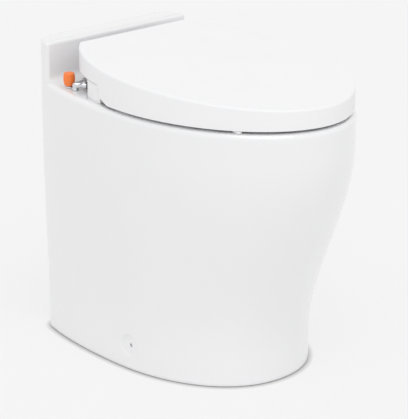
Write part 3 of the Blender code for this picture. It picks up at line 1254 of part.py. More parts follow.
def make_leads():
    """The motor's and the valve coil's leads from the control module."""
    face = PANEL_X + PANEL_THICK + GAP
    middle = (PANEL_FRONT_Y + PANEL_REAR_Y) / 2
    top = MODULE_LOW + MODULE_HEIGHT + GAP
    x = face + MODULE_DEPTH / 2
    bend = LEAD_RADIUS * LEAD_BEND_SHARE
    start = Vector((x, middle + MODULE_LENGTH / 4, top))
    end = Vector((0, MOTOR_END_Y - MOTOR_LENGTH / 4, PUMP_Z + MOTOR_RADIUS + GAP))
    middles = [start + Vector((bend, 0, bend)), end + Vector((-bend, 0, bend * 1.5))]
    swept("motor_lead", smooth_path(start, (0, 0, 1), middles, end, (0, 0, -1), LEAD_RADIUS * 2, 4), LEAD_RADIUS, 0,
          "black_rubber", THIN_SIDES)
    centre = valve_centre()
    coil_z = centre.z + VALVE_BODY / 2 + GAP + COIL_HEIGHT / 2
    start = Vector((x, middle - MODULE_LENGTH / 4, top))
    end = Vector((centre.x + COIL_RADIUS + GAP, centre.y, coil_z))
    middles = [start + Vector((bend * 0.7, 0, bend * 0.7)), Vector((end.x + bend, start.y + bend * 0.5, centre.z)),
               end + Vector((bend * 0.6, 0, bend * 0.2))]
    swept("valve_lead", smooth_path(start, (0, 0, 1), middles, end, (-1, 0, 0), LEAD_RADIUS * 2, 4), LEAD_RADIUS, 0,
          "black_rubber", THIN_SIDES)


def make_floor_brackets():
    """Angles behind the side screws, which hold the china down on them."""
    side = skirt_half_width(DIMPLE_Y, DIMPLE_Z)
    foot_side = min(skirt_half_width(DIMPLE_Y - BRACKET_LENGTH / 2, 0), side)
    outer = foot_side - CHINA_WALL - PLAY * 3
    hole_y = DIMPLE_Y - SIDE_SCREW_FORWARD
    low_y, high_y = hole_y - BRACKET_LENGTH / 2, hole_y + BRACKET_LENGTH / 2
    for hand in (-1, 1):
        inner = outer - BRACKET_THICK
        low_x, high_x = sorted((hand * inner, hand * outer))
        bracket = box(f"floor_bracket_{hand_word(hand)}", (low_x, low_y, 0), (high_x, high_y, BRACKET_HEIGHT),
                      "stainless")
        low_x, high_x = sorted((hand * (outer - BRACKET_FOOT), hand * (outer - BRACKET_THICK / 2)))
        add(bracket, box("bracket_foot", (low_x, low_y + GAP, 0), (high_x, high_y - GAP, BRACKET_THICK)))
        cut(bracket, rod("bracket_hole", (hand * (inner - OVERRUN), hole_y, DIMPLE_Z),
                         (hand * (outer + OVERRUN), hole_y, DIMPLE_Z), SIDE_SCREW_RADIUS + GAP, sides=THIN_SIDES))
        for y in (low_y + FLOOR_HOLE_INSET, high_y - FLOOR_HOLE_INSET):
            floor_hole(bracket, hand * (outer - BRACKET_FOOT + FLOOR_HOLE_INSET), y, BRACKET_THICK)
        start = Vector((hand * (side - DIMPLE_DEPTH * 2), hole_y, DIMPLE_Z))
        rod(f"side_screw_{hand_word(hand)}", start, start - Vector((hand * SIDE_SCREW_LENGTH, 0, 0)),
            SIDE_SCREW_RADIUS, "stainless", THIN_SIDES)


def make_toilet():
    clear_scene()
    make_pedestal()
    for piece in (make_lid(), make_seat()):
        set_origin(piece, (0, HINGE_Y, HINGE_Z))
    pad_places = (FRONT_Y + PAD_FRONT_SETBACK, COVER_FRONT_Y - PAD_REAR_FORWARD)
    make_pads("seat_pads", zip(SEAT_PAD_SHARES, pad_places), RIM_Z + GAP, SKIRT_Z - GAP)
    make_pads("lid_pads", [(LID_PAD_SHARE, FRONT_Y + LID_PAD_SETBACK)], lambda y: seat_top(y) + GAP,
              lambda y: lid_top(y) - LID_WALL - GAP)
    make_bidet_base()
    make_bidet_cover()
    make_hinge_pins()
    make_deck_bolts()
    make_bidet_nozzle()
    make_nozzle_guide()
    make_feed_hose()
    make_water_fitting()
    make_lever()
    make_plug()
    make_rinse_nozzle()
    make_sump_sleeve()
    make_pump()
    make_cradle()
    make_discharge()
    make_service_bracket()
    make_rinse_valve()
    make_rinse_hose()
    make_leads()
    make_floor_brackets()


make_toilet()
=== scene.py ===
"""The looks of an electric marine toilet: glazed china, moulded seat and lid, a chrome water fitting with
its orange plug, and the pump under the bowl, on a pale floor in soft light.

Metres, +Z up. The sitter faces -Y, so their right is -X."""

import itertools
import json
import math

import bmesh
import bpy
import numpy as np
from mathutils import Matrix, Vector

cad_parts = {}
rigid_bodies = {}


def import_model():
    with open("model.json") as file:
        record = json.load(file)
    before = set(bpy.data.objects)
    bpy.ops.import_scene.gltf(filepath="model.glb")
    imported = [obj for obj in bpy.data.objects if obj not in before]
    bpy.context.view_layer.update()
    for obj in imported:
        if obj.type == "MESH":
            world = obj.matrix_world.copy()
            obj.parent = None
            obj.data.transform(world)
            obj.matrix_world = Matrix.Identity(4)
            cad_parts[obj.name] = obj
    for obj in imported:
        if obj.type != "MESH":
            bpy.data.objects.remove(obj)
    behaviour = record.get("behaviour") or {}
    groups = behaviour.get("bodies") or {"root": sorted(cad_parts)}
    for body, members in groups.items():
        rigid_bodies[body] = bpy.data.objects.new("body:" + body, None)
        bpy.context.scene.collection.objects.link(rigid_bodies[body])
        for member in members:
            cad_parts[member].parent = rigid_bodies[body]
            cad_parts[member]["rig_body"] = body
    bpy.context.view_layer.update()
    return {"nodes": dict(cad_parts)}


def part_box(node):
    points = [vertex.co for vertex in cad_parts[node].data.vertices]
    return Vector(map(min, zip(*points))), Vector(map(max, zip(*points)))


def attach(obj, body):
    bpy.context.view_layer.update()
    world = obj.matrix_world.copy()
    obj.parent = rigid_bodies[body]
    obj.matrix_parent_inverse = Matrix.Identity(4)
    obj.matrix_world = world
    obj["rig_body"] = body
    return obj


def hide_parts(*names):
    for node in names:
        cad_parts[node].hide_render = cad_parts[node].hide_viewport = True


# Plan outlines as half width, centre, front reach, front power, rear reach and rear power
RIM_SHAPE = (0.186, -0.0055, 0.267, 1.96, 0.390, 2.12)
FOOT_SHAPE = (0.1615, 0.0555, 0.231, 2.15, 0.344, 2.25)
LID_SHAPE = (0.185, -0.0055, 0.2632, 1.96, 0.2394, 2.12)

# China pedestal, its dimples at a (y, z) place and its bolt holes at an (x, y) place
RIM_Z = 0.443
REAR_Y = 0.2725
REAR_CORNER = 0.036
SKIRT_STEPS = 110
CHINA_WALL = 0.010
DECK_THICK = 0.012
RIM_ROUND = 0.0095
WAIST_START, WAIST_SPAN = 0.11, 0.78
BACKREST_Y = 0.2255
BACKREST_TOP = 0.509
BACKREST_LOW = 0.432
BACKREST_SEAM = 0.0002
BACKREST_CORNER = 0.006
BACKREST_ROUND = 0.006
FILLET_HALF_LENGTH = 0.150
FILLET_REACH = 0.013
DIMPLE = (0.022, 0.043)
DIMPLE_RADIUS = 0.0185
DIMPLE_EDGE_SHARE = 0.22
DIMPLE_FLOOR_X = 0.1602 - 0.0020
SIDE_HOLE_Y = 0.018
SIDE_HOLE_RADIUS = 0.0034
BOLT_HOLE = (0.07, 0.110)
BOLT_HOLE_RADIUS = 0.0046
RINSE_HOLE_RADIUS = 0.0076

# Bowl, and its section from the lip down as depth, narrowing and shift
BOWL_WALL = 0.009
BOWL_Y = -0.084
BOWL_HALF_WIDTH = 0.117
BOWL_HALF_LENGTH = 0.1375
BOWL_POWER = 2.2
BOWL_POWER_FALL = 0.2
BOWL_LIP = 0.005
THROAT_RADIUS = 0.030
THROAT_Y = 0.020
THROAT_Z = 0.1783
SPIGOT_Z = 0.1483
BOWL_SECTION = ((0, 0, 0), (0.16, 0.04, 0.02), (0.34, 0.12, 0.1), (0.52, 0.27, 0.27), (0.69, 0.47, 0.5),
                (0.83, 0.67, 0.75), (0.94, 0.86, 0.93), (1, 1, 1))

# Lid and seat, the steps in their lower edges as place and height, and their hinge at a (y, z) place
LID_REAR_Y = 0.1885
LID_MIDDLE_Y = -0.0401
LID_CORNER = 0.006
LID_STEPS = 90
LID_RISE = 0.069
LID_SLOPE = 0.0736
LID_CROWN = 0.003
LID_WALL = 0.003
LID_ROUND = 0.0035
LID_CROWN_SHARES = (0.91, 0.84, 0.76, 0.66, 0.55, 0.43, 0.30, 0.16)
SKIRT_Z = 0.4473
STEP_RUN = 0.012 / 0.0282
LID_STEP = (0.058, 0.4755)
SEAT_STEP = (0.030, 0.480)
SEAT_REAR_Y = 0.160
SEAT_CORNER = 0.0205
SEAT_INSET = 0.0065
SEAT_UNDER_LID = 0.007
SEAT_ROUND = 0.010
SEAT_HOLE = (0.105, -0.080, 0.125)
HINGE = (0.1765, 0.474)
EYE_RADIUS = 0.008
EYE_THICK = 0.008
SEAT_EYE_X = 0.060
COVER_EYE_X = 0.0683
LID_EYE_X = 0.0766
EYE_BORE = 0.0036
LUG_BORE = 0.0033

# Bidet base and cover
COVER_FRONT_Y = 0.0685
COVER_STEP_Y = 0.1105
COVER_REAR_Y = 0.160
COVER_NARROW_X = 0.130
COVER_WIDEST_X = 0.1726
COVER_INSET = 0.0012
COVER_LOW = 0.4461
COVER_TOP = 0.4738
COVER_WALL = 0.0025
COVER_ROUND = 0.0012
BASE_EDGE = (0.4434, 0.4457)
BASE_EDGE_DEPTH = 0.004
WAND_TIP = Vector((0, 0.0665, 0.456))
WAND_TILT = math.radians(6)

# Water fitting, its lever and its plug, whose section has radii at shares of its height
FITTING_NUT = Vector((-0.1345, 0.1412, 0.4515))
FITTING_ELBOW = Vector((-0.1500, 0.1580, 0.4515))
PORT_PLACE = (-0.1482, 0.1756, 0.4433)
INTO_COVER = (FITTING_NUT - FITTING_ELBOW).normalized()
LEVER_PIVOT = FITTING_NUT - INTO_COVER * 0.0081
LEVER_Z = 0.4588
PLUG_Z = 0.4469
PLUG_SECTION = ((0.0072, 0.03), (0.0084, 0.14), (0.0092, 0.32), (0.0096, 0.52), (0.0095, 0.70),
                (0.0091, 0.84), (0.0091, 0.88), (0.0087, 0.955), (0.0076, 1), (0.0060, 1), (0.0054, 0.965),
                (0, 0.965))
PLUG_GROOVES = 14

# Pump
PUMP_Z = 0.078
MOTOR_Y = 0.0766
MOTOR_END_Y = 0.1816
COOLING_SLOTS = 12
SCREW_CIRCLE = 0.0405

# Plastics and rubbers as colour, gloss range and scale of their grain
MOULDED = {
    "white_seat_plastic": ((0.910, 0.910, 0.920), (0.42, 0.50), 700.0),
    "white_base_plastic": ((0.905, 0.905, 0.915), (0.30, 0.38), 900.0),
    "white_pad_rubber": ((0.86, 0.86, 0.86), (0.55, 0.65), 1200.0),
    "orange_plastic": ((1.0, 0.235, 0.045), (0.34, 0.44), 900.0),
    "black_rubber": ((0.028, 0.028, 0.030), (0.60, 0.75), 1200.0),
    "black_plastic": ((0.035, 0.036, 0.040), (0.38, 0.50), 900.0),
    "grey_plastic": ((0.33, 0.34, 0.35), (0.40, 0.50), 900.0),
    "clear_hose": ((0.70, 0.72, 0.71), (0.25, 0.35), 500.0),
}

# Metals as colour, gloss range and how closely their lines lie along each axis
METALS = {
    "chrome": ((0.74, 0.755, 0.78), (0.10, 0.18), (90.0, 90.0, 90.0)),
    "dull_chrome": ((0.55, 0.56, 0.58), (0.14, 0.24), (90.0, 90.0, 90.0)),
    "stainless": ((0.60, 0.605, 0.61), (0.22, 0.38), (30.0, 30.0, 900.0)),
    "copper": ((0.62, 0.28, 0.13), (0.30, 0.42), (900.0, 60.0, 900.0)),
}
CHINA_COLOUR = (0.885, 0.885, 0.895)
MOTOR_PAINT = (0.050, 0.053, 0.058)
DUST_COLOUR = (0.42, 0.40, 0.37, 1)

# Nodes that keep their CAD form with finer roundness
ROUND_NODES = {
    "deck_washer_left": "black_rubber",
    "deck_washer_right": "black_rubber",
    "deck_bolt_left": "stainless",
    "deck_bolt_right": "stainless",
    "hinge_pin_left": "stainless",
    "hinge_pin_right": "stainless",
    "shaft_seal": "black_rubber",
    "sump_sleeve": "black_rubber",
    "sleeve_clamp_lower": "stainless",
    "sleeve_clamp_upper": "stainless",
    "outlet_sleeve": "black_rubber",
    "discharge_elbow": "black_plastic",
    "discharge_tail": "black_plastic",
    "discharge_union": "black_plastic",
    "duckbill_valve": "black_rubber",
    "motor_shaft": "stainless",
    "motor_armature": "copper",
    "valve_plunger": "stainless",
    "valve_coil": "black_plastic",
    "feed_hose": "clear_hose",
    "rinse_hose": "clear_hose",
    "motor_lead": "black_rubber",
    "valve_lead": "black_rubber",
    "rinse_nozzle": "grey_plastic",
    "side_screw_left": "stainless",
    "side_screw_right": "stainless",
}

# Nodes that keep their CAD form with soft edges, with the width of those edges
SOFT_NODES = {
    "deck_nut_left": ("white_base_plastic", 0.0006),
    "deck_nut_right": ("white_base_plastic", 0.0006),
    "bidet_nozzle": ("grey_plastic", 0.0004),
    "nozzle_guide": ("grey_plastic", 0.0004),
    "rinse_nut": ("grey_plastic", 0.0006),
    "impeller": ("black_plastic", 0.0005),
    "macerator_cutter": ("stainless", 0.0003),
    "macerator_housing": ("black_plastic", 0.0010),
    "pump_adapter": ("black_plastic", 0.0010),
    "pump_cradle": ("stainless", 0.0006),
    "motor_strap_front": ("stainless", 0.0003),
    "motor_strap_rear": ("stainless", 0.0003),
    "service_bracket": ("stainless", 0.0004),
    "control_module": ("black_plastic", 0.0020),
    "rinse_valve": ("white_base_plastic", 0.0012),
    "floor_bracket_left": ("stainless", 0.0006),
    "floor_bracket_right": ("stainless", 0.0006),
}

# Light, its lamp's azimuth from the front towards the sitter's left, its angles in degrees
SKY_STRENGTH = 0.75
LAMP_STRENGTH = 0.92
LAMP_AZIMUTH, LAMP_HEIGHT, LAMP_SPREAD = -40, 60, 45
FLOOR_COLOUR = (0.910, 0.910, 0.910)
FLOOR_HALF_SIDE = 20
BACKDROP_COLOUR = (0.913, 0.913, 0.913, 1)
GLOW_SHARE = 0.82
# How far the painted contact shade on the floor reaches out from the part
CONTACT_SHADE = 0.011

# Camera fitted to the photograph, its focal length and the photograph's longer side in pixels
CAMERA_PLACE = (-2.1562, -2.3238, 1.3370)
CAMERA_AZIMUTH = -0.7449
CAMERA_ELEVATION = 0.3319
FOCAL_PIXELS = 2045.24
PHOTO_SIDE_PIXELS = 419

# How strongly the points of an outline gather where it turns and near the place in focus
TURN_WEIGHT = 0.08
FOCUS_PULL = 3
FOCUS_REACH = 0.02

# Directions, the angle from which an edge counts as sharp, and the kinds of socket of a shader group
UP, REARWARD = (0, 0, 1), (0, 1, 0)
SHARP_ANGLE = 35
COLOUR, VALUE, VECTOR = "NodeSocketColor", "NodeSocketFloat", "NodeSocketVector"


def link(name, mesh):
    made = bpy.data.objects.new(name, mesh)
    bpy.context.scene.collection.objects.link(made)
    return made


def solid(name, shape):
    """A piece made of a bmesh, which is freed."""
    mesh = bpy.data.meshes.new(name)
    shape.to_mesh(mesh)
    shape.free()
    return link(name, mesh)


def loft(name, rings, wrap=False):
    """A closed skin over anticlockwise rings: up an outer wall, down an inner one. One point makes a tip."""
    points, starts = [], []
    for ring in rings:
        starts.append(len(points))
        points.extend(tuple(map(float, p)) for p in ring)
    faces = []
    pairs = list(zip(range(len(rings)), range(1, len(rings)))) + ([(len(rings) - 1, 0)] if wrap else [])
    for low, high in pairs:
        a, b = starts[low], starts[high]
        count = max(len(rings[low]), len(rings[high]))
        for j in range(count):
            k = (j + 1) % count
            if len(rings[low]) == 1:
                faces.append((a, b + k, b + j))
            elif len(rings[high]) == 1:
                faces.append((a + j, a + k, b))
            else:
                faces.append((a + j, a + k, b + k, b + j))
    if not wrap and len(rings[0]) > 1:
        faces.append(tuple(reversed(range(len(rings[0])))))
    if not wrap and len(rings[-1]) > 1:
        faces.append(tuple(starts[-1] + j for j in range(len(rings[-1]))))
    mesh = bpy.data.meshes.new(name)
    mesh.from_pydata(points, [], faces)
    shape = bmesh.new()
    shape.from_mesh(mesh)
    bmesh.ops.recalc_face_normals(shape, faces=shape.faces)
    shape.to_mesh(mesh)
    shape.free()
    return link(name, mesh)


def half_oval(shape):
    """Right half of a plan outline from its front tip, as two quarter ovals of unlike reach and power."""
    width, centre, front, front_power, reach, rear_power = shape
    turn = np.linspace(0, math.pi / 2, 240)
    front_arc = np.stack([width * np.sin(turn) ** (2 / front_power),
                          centre - front * np.cos(turn) ** (2 / front_power)], 1)
    rear_arc = np.stack([width * np.cos(turn) ** (2 / rear_power),
                         centre + reach * np.sin(turn) ** (2 / rear_power)], 1)
    return np.concatenate([front_arc, rear_arc[1:]])


def half_outline(shape, rear, corner, inward=0.0):
    """The half oval cut off by a straight rear edge with a round corner between them, all moved inward."""
    arc = half_oval(shape)
    step = np.gradient(arc, axis=0)
    facing = np.unwrap(np.arctan2(-step[:, 0], step[:, 1]))
    outward = np.stack([np.cos(facing), np.sin(facing)], 1)
    middles = arc - corner * outward
    centre_y = rear - corner
    last = int(np.argmax(middles[:, 1] >= centre_y))
    share = (centre_y - middles[last - 1, 1]) / (middles[last, 1] - middles[last - 1, 1])
    centre_x, start = ((1 - share) * row[last - 1] + share * row[last] for row in (middles[:, 0], facing))
    sweep = np.linspace(start, math.pi / 2, 40)
    radius = corner - inward
    round_corner = np.stack([centre_x + radius * np.cos(sweep), centre_y + radius * np.sin(sweep)], 1)
    return np.concatenate([(arc - inward * outward)[:last], round_corner, [(0, rear - inward)]])


def outline_ring(shape, rear, corner, inward, count, focus=None):
    """A mirrored outline of twice count points, closer where it turns and near the place in focus."""
    half, base = half_outline(shape, rear, corner, inward), half_outline(shape, rear, corner)
    step = np.diff(base, axis=0)
    length = np.linalg.norm(step, axis=1)
    turned_by = np.concatenate([[0], np.abs(np.diff(np.unwrap(np.arctan2(step[:, 1], step[:, 0]))))])
    pull = 1 if focus is None else 1 + FOCUS_PULL * np.exp(-((base[:-1, 1] - focus) / FOCUS_REACH) ** 2)
    weight = np.concatenate([[0], np.cumsum(length * pull + TURN_WEIGHT * turned_by)])
    places = np.linspace(0, weight[-1], count + 1)
    right = np.stack([np.interp(places, weight, half[:, axis]) for axis in (0, 1)], 1)
    right[0, 0] = right[-1, 0] = 0
    return np.concatenate([right, right[-2:0:-1] * (-1, 1)])


def oval_toward(ring, middle, shape):
    """An oval about its own middle, its points in the directions of the ring's points from a given middle."""
    half_width, centre, half_length, power = shape
    way = ring - (0, middle)
    across, along = np.abs(way[:, :1]) / half_width, np.abs(way[:, 1:]) / half_length
    return way * (across ** power + along ** power) ** (-1 / power) + (0, centre)


def at_height(ring, height):
    heights = [height(y) if callable(height) else height for y in ring[:, 1]]
    return np.column_stack([ring, heights])


def circle(radius, sides):
    turn = np.arange(sides) * 2 * math.pi / sides
    return np.stack([radius * np.cos(turn), radius * np.sin(turn)], 1)


def turned(name, profile, origin, axis, sides=64, wrap=False):
    """A turned piece whose (radius, distance) pairs run up its outer side from origin along axis."""
    facing = Vector(axis).to_track_quat("Z", "Y")
    rings = []
    for radius, along in profile:
        flat = circle(radius, sides) if radius else np.zeros((1, 2))
        rings.append([Vector(origin) + facing @ Vector((x, y, along)) for x, y in flat])
    return loft(name, rings, wrap)


def rounded(profile, radius, steps=3):
    """The profile with each of its corners cut by a short arc."""
    made = []
    count = len(profile)
    for i, corner in enumerate(profile):
        here = np.array(corner, float)
        if i in (0, count - 1) or here[0] == 0:
            made.append(tuple(here))
            continue
        before, after = (np.array(profile[i + d], float) - here for d in (-1, 1))
        reach = min(radius, np.linalg.norm(before) * 0.45, np.linalg.norm(after) * 0.45)
        a, b = here + before / np.linalg.norm(before) * reach, here + after / np.linalg.norm(after) * reach
        for t in np.linspace(0, 1, steps):
            made.append(tuple((1 - t) ** 2 * a + 2 * t * (1 - t) * here + t ** 2 * b))
    return made


def rod(name, start, end, radius, sides=48):
    span = Vector(end) - Vector(start)
    return turned(name, [(radius, 0), (radius, span.length)], start, span, sides)


def hull(name, points):
    shape = bmesh.new()
    for point in points:
        shape.verts.new(point)
    bmesh.ops.convex_hull(shape, input=shape.verts)
    bmesh.ops.delete(shape, geom=[v for v in shape.verts if not v.link_faces], context="VERTS")
    bmesh.ops.dissolve_limit(shape, angle_limit=math.radians(0.5), verts=shape.verts, edges=shape.edges)
    bmesh.ops.recalc_face_normals(shape, faces=shape.faces)
    return solid(name, shape)


def box(name, low, high):
    return hull(name, itertools.product(*zip(low, high)))


def joined(name, tools):
    shape = bmesh.new()
    for tool in tools:
        tool.data.transform(tool.matrix_world)
        shape.from_mesh(tool.data)
        bpy.data.objects.remove(tool, do_unlink=True)
    return solid(name, shape)


def boolean(piece, operation, *tools):
    """Works the tools into the piece's mesh and removes them."""
    for tool in tools:
        step = piece.modifiers.new("boolean", "BOOLEAN")
        step.operation = operation
        step.object = tool
    graph = bpy.context.evaluated_depsgraph_get()
    mesh = bpy.data.meshes.new_from_object(piece.evaluated_get(graph))
    piece.modifiers.clear()
    piece.data = mesh
    for tool in tools:
        bpy.data.objects.remove(tool, do_unlink=True)


def soften(piece, width, angle=SHARP_ANGLE):
    """Rounds the piece's edges that turn by more than the angle."""
    bevel = piece.modifiers.new("soft_edges", "BEVEL")
    bevel.width = width
    bevel.segments = 2
    bevel.limit_method = "ANGLE"
    bevel.angle_limit = math.radians(angle)


def finish(piece, material, body, *nodes, angle=40, slot=None):
    """Dresses a piece and hands it to its body, in place of the CAD nodes it stands for."""
    piece.data.materials.clear()
    piece.data.materials.append(MATERIALS[material])
    piece.data.shade_smooth()
    piece.data.set_sharp_from_angle(angle=math.radians(angle))
    normals = piece.modifiers.new("weighted", "WEIGHTED_NORMAL")
    normals.keep_sharp = True
    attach(piece, body)
    if nodes:
        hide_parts(*nodes)
    return piece


def refined(node, material, width=0.0, levels=0):
    """A CAD node's own form with soft edges, or with finer roundness between its sharp edges."""
    source = frame["nodes"][node]
    shape = bmesh.new()
    shape.from_mesh(source.data)
    bmesh.ops.remove_doubles(shape, verts=shape.verts, dist=1e-5)
    bmesh.ops.dissolve_limit(shape, angle_limit=math.radians(0.4), verts=shape.verts, edges=shape.edges)
    if levels:
        bmesh.ops.join_triangles(shape, faces=shape.faces, angle_face_threshold=0.5,
                                 angle_shape_threshold=0.8)
        crease = shape.edges.layers.float.new("crease_edge")
        for edge in shape.edges:
            if len(edge.link_faces) != 2 or edge.calc_face_angle() > math.radians(SHARP_ANGLE):
                edge[crease] = 0.93
    piece = solid("fine_" + node, shape)
    if levels:
        fineness = piece.modifiers.new("fine", "SUBSURF")
        fineness.levels = fineness.render_levels = levels
    else:
        soften(piece, width)
    return finish(piece, material, source["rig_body"], node)


def effect(name, inputs, outputs):
    """A shader group with what it is given, what it hands out and the place on the part, ready to link."""
    group = bpy.data.node_groups.new(name, "ShaderNodeTree")
    for socket, kind, value in inputs:
        made = group.interface.new_socket(socket, in_out="INPUT", socket_type=kind)
        made.default_value = value
    for socket, kind in outputs:
        group.interface.new_socket(socket, in_out="OUTPUT", socket_type=kind)
    given, out = group.nodes.new("NodeGroupInput"), group.nodes.new("NodeGroupOutput")
    return group, given.outputs, out.inputs, own_place(group)


def own_place(tree):
    return tree.nodes.new("ShaderNodeTexCoord").outputs["Object"]


def feed(tree, socket, given):
    """Links the socket to another one, or sets it to a plain value."""
    if isinstance(given, bpy.types.NodeSocket):
        tree.links.new(given, socket)
    else:
        socket.default_value = given


def noise(tree, vector, scale, detail=2.0, roughness=0.5):
    made = tree.nodes.new("ShaderNodeTexNoise")
    for socket, given in (("Vector", vector), ("Scale", scale), ("Detail", detail), ("Roughness", roughness)):
        feed(tree, made.inputs[socket], given)
    return made.outputs["Fac"]


def ranged(tree, value, low, high, to_low=0.0, to_high=1.0):
    made = tree.nodes.new("ShaderNodeMapRange")
    for socket, given in zip(made.inputs, (value, low, high, to_low, to_high)):
        feed(tree, socket, given)
    return made.outputs["Result"]


def maths(tree, operation, first, second):
    made = tree.nodes.new("ShaderNodeMath")
    made.operation = operation
    for socket, given in zip(made.inputs, (first, second)):
        feed(tree, socket, given)
    return made.outputs["Value"]


def mixed(tree, share, first, second):
    made = tree.nodes.new("ShaderNodeMix")
    made.data_type = "RGBA"
    for socket, given in ((0, share), (6, first), (7, second)):
        feed(tree, made.inputs[socket], given)
    return made.outputs[2]


def make_tone_drift():
    """Slow changes of tone over a surface, between a light and a dark colour."""
    inputs = [("Light", COLOUR, (1, 1, 1, 1)), ("Dark", COLOUR, (0.9, 0.9, 0.9, 1)), ("Scale", VALUE, 8.0)]
    group, given, out, place = effect("tone_drift", inputs, [("Color", COLOUR)])
    slow = ranged(group, noise(group, place, given["Scale"], 3.0), 0.35, 0.65)
    group.links.new(mixed(group, slow, given["Dark"], given["Light"]), out["Color"])
    return group


def make_glaze_waves():
    """The faint pull of a fired glaze: slow waves with a finer peel on them."""
    inputs = [("Wave Scale", VALUE, 9.0), ("Peel Scale", VALUE, 160.0), ("Peel Share", VALUE, 0.06)]
    group, given, out, place = effect("glaze_waves", inputs, [("Height", VALUE)])
    wave = noise(group, place, given["Wave Scale"], 1.0)
    peel = noise(group, place, given["Peel Scale"])
    height = maths(group, "ADD", wave, maths(group, "MULTIPLY", peel, given["Peel Share"]))
    group.links.new(height, out["Height"])
    return group


def make_moulded_grain():
    """The fine even grain of moulded plastic and rubber, with a little change of gloss."""
    inputs = [("Scale", VALUE, 900.0), ("Gloss Low", VALUE, 0.3), ("Gloss High", VALUE, 0.4)]
    group, given, out, place = effect("moulded_grain", inputs, [("Height", VALUE), ("Roughness", VALUE)])
    group.links.new(noise(group, place, given["Scale"]), out["Height"])
    rubbed = noise(group, place, 22.0, 4.0, 0.6)
    rough = ranged(group, rubbed, 0.35, 0.65, given["Gloss Low"], given["Gloss High"])
    group.links.new(rough, out["Roughness"])
    return group


def make_metal_lines():
    """Drawn or brushed lines along one way, with a change of gloss between them."""
    inputs = [("Stretch", VECTOR, (400.0, 20.0, 400.0)), ("Gloss Low", VALUE, 0.2),
              ("Gloss High", VALUE, 0.35)]
    group, given, out, place = effect("metal_lines", inputs, [("Height", VALUE), ("Roughness", VALUE)])
    stretched = group.nodes.new("ShaderNodeVectorMath")
    stretched.operation = "MULTIPLY"
    group.links.new(place, stretched.inputs[0])
    group.links.new(given["Stretch"], stretched.inputs[1])
    lines = noise(group, stretched.outputs["Vector"], 1.0, 3.0, 0.6)
    group.links.new(lines, out["Height"])
    rough = ranged(group, lines, 0.3, 0.7, given["Gloss Low"], given["Gloss High"])
    group.links.new(rough, out["Roughness"])
    return group


def make_settled_dust():
    """A thin veil of dust on the faces that look up, as a mask."""
    group, given, out, place = effect("settled_dust", [("Amount", VALUE, 0.2)], [("Mask", VALUE)])
    up = group.nodes.new("ShaderNodeSeparateXYZ")
    group.links.new(group.nodes.new("ShaderNodeNewGeometry").outputs["Normal"], up.inputs["Vector"])
    patchy = ranged(group, noise(group, place, 45.0, 5.0, 0.6), 0.3, 0.7)
    facing = ranged(group, up.outputs["Z"], 0.2, 1.0)
    mask = maths(group, "MULTIPLY", maths(group, "MULTIPLY", patchy, facing), given["Amount"])
    group.links.new(mask, out["Mask"])
    return group


def new_material(name, colour, roughness, metallic=0.0, **sockets):
    """A material with its plain values set on the shader's own sockets."""
    made = bpy.data.materials.new(name)
    made.use_nodes = True
    shader = made.node_tree.nodes["Principled BSDF"]
    shader.inputs["Base Color"].default_value = (*colour, 1)
    shader.inputs["Roughness"].default_value = roughness
    shader.inputs["Metallic"].default_value = metallic
    for socket, value in sockets.items():
        shader.inputs[socket.replace("_", " ")].default_value = value
    return made, made.node_tree, shader


def place_group(tree, group, **values):
    made = tree.nodes.new("ShaderNodeGroup")
    made.node_tree = group
    for socket, value in values.items():
        made.inputs[socket.replace("_", " ")].default_value = value
    return made.outputs


def bump(tree, shader, height, strength, distance):
    made = tree.nodes.new("ShaderNodeBump")
    made.inputs["Strength"].default_value = strength
    made.inputs["Distance"].default_value = distance
    tree.links.new(height, made.inputs["Height"])
    tree.links.new(made.outputs["Normal"], shader.inputs["Normal"])


def shades(colour, change):
    return {"Light": (*colour, 1), "Dark": (*(c * (1 - change) for c in colour), 1)}


def dress(tree, shader, toned, skin, depth):
    """Links a surface's tone, and its grain or lines as change of gloss and as relief."""
    tree.links.new(toned, shader.inputs["Base Color"])
    tree.links.new(skin["Roughness"], shader.inputs["Roughness"])
    bump(tree, shader, skin["Height"], depth, 0.0002)


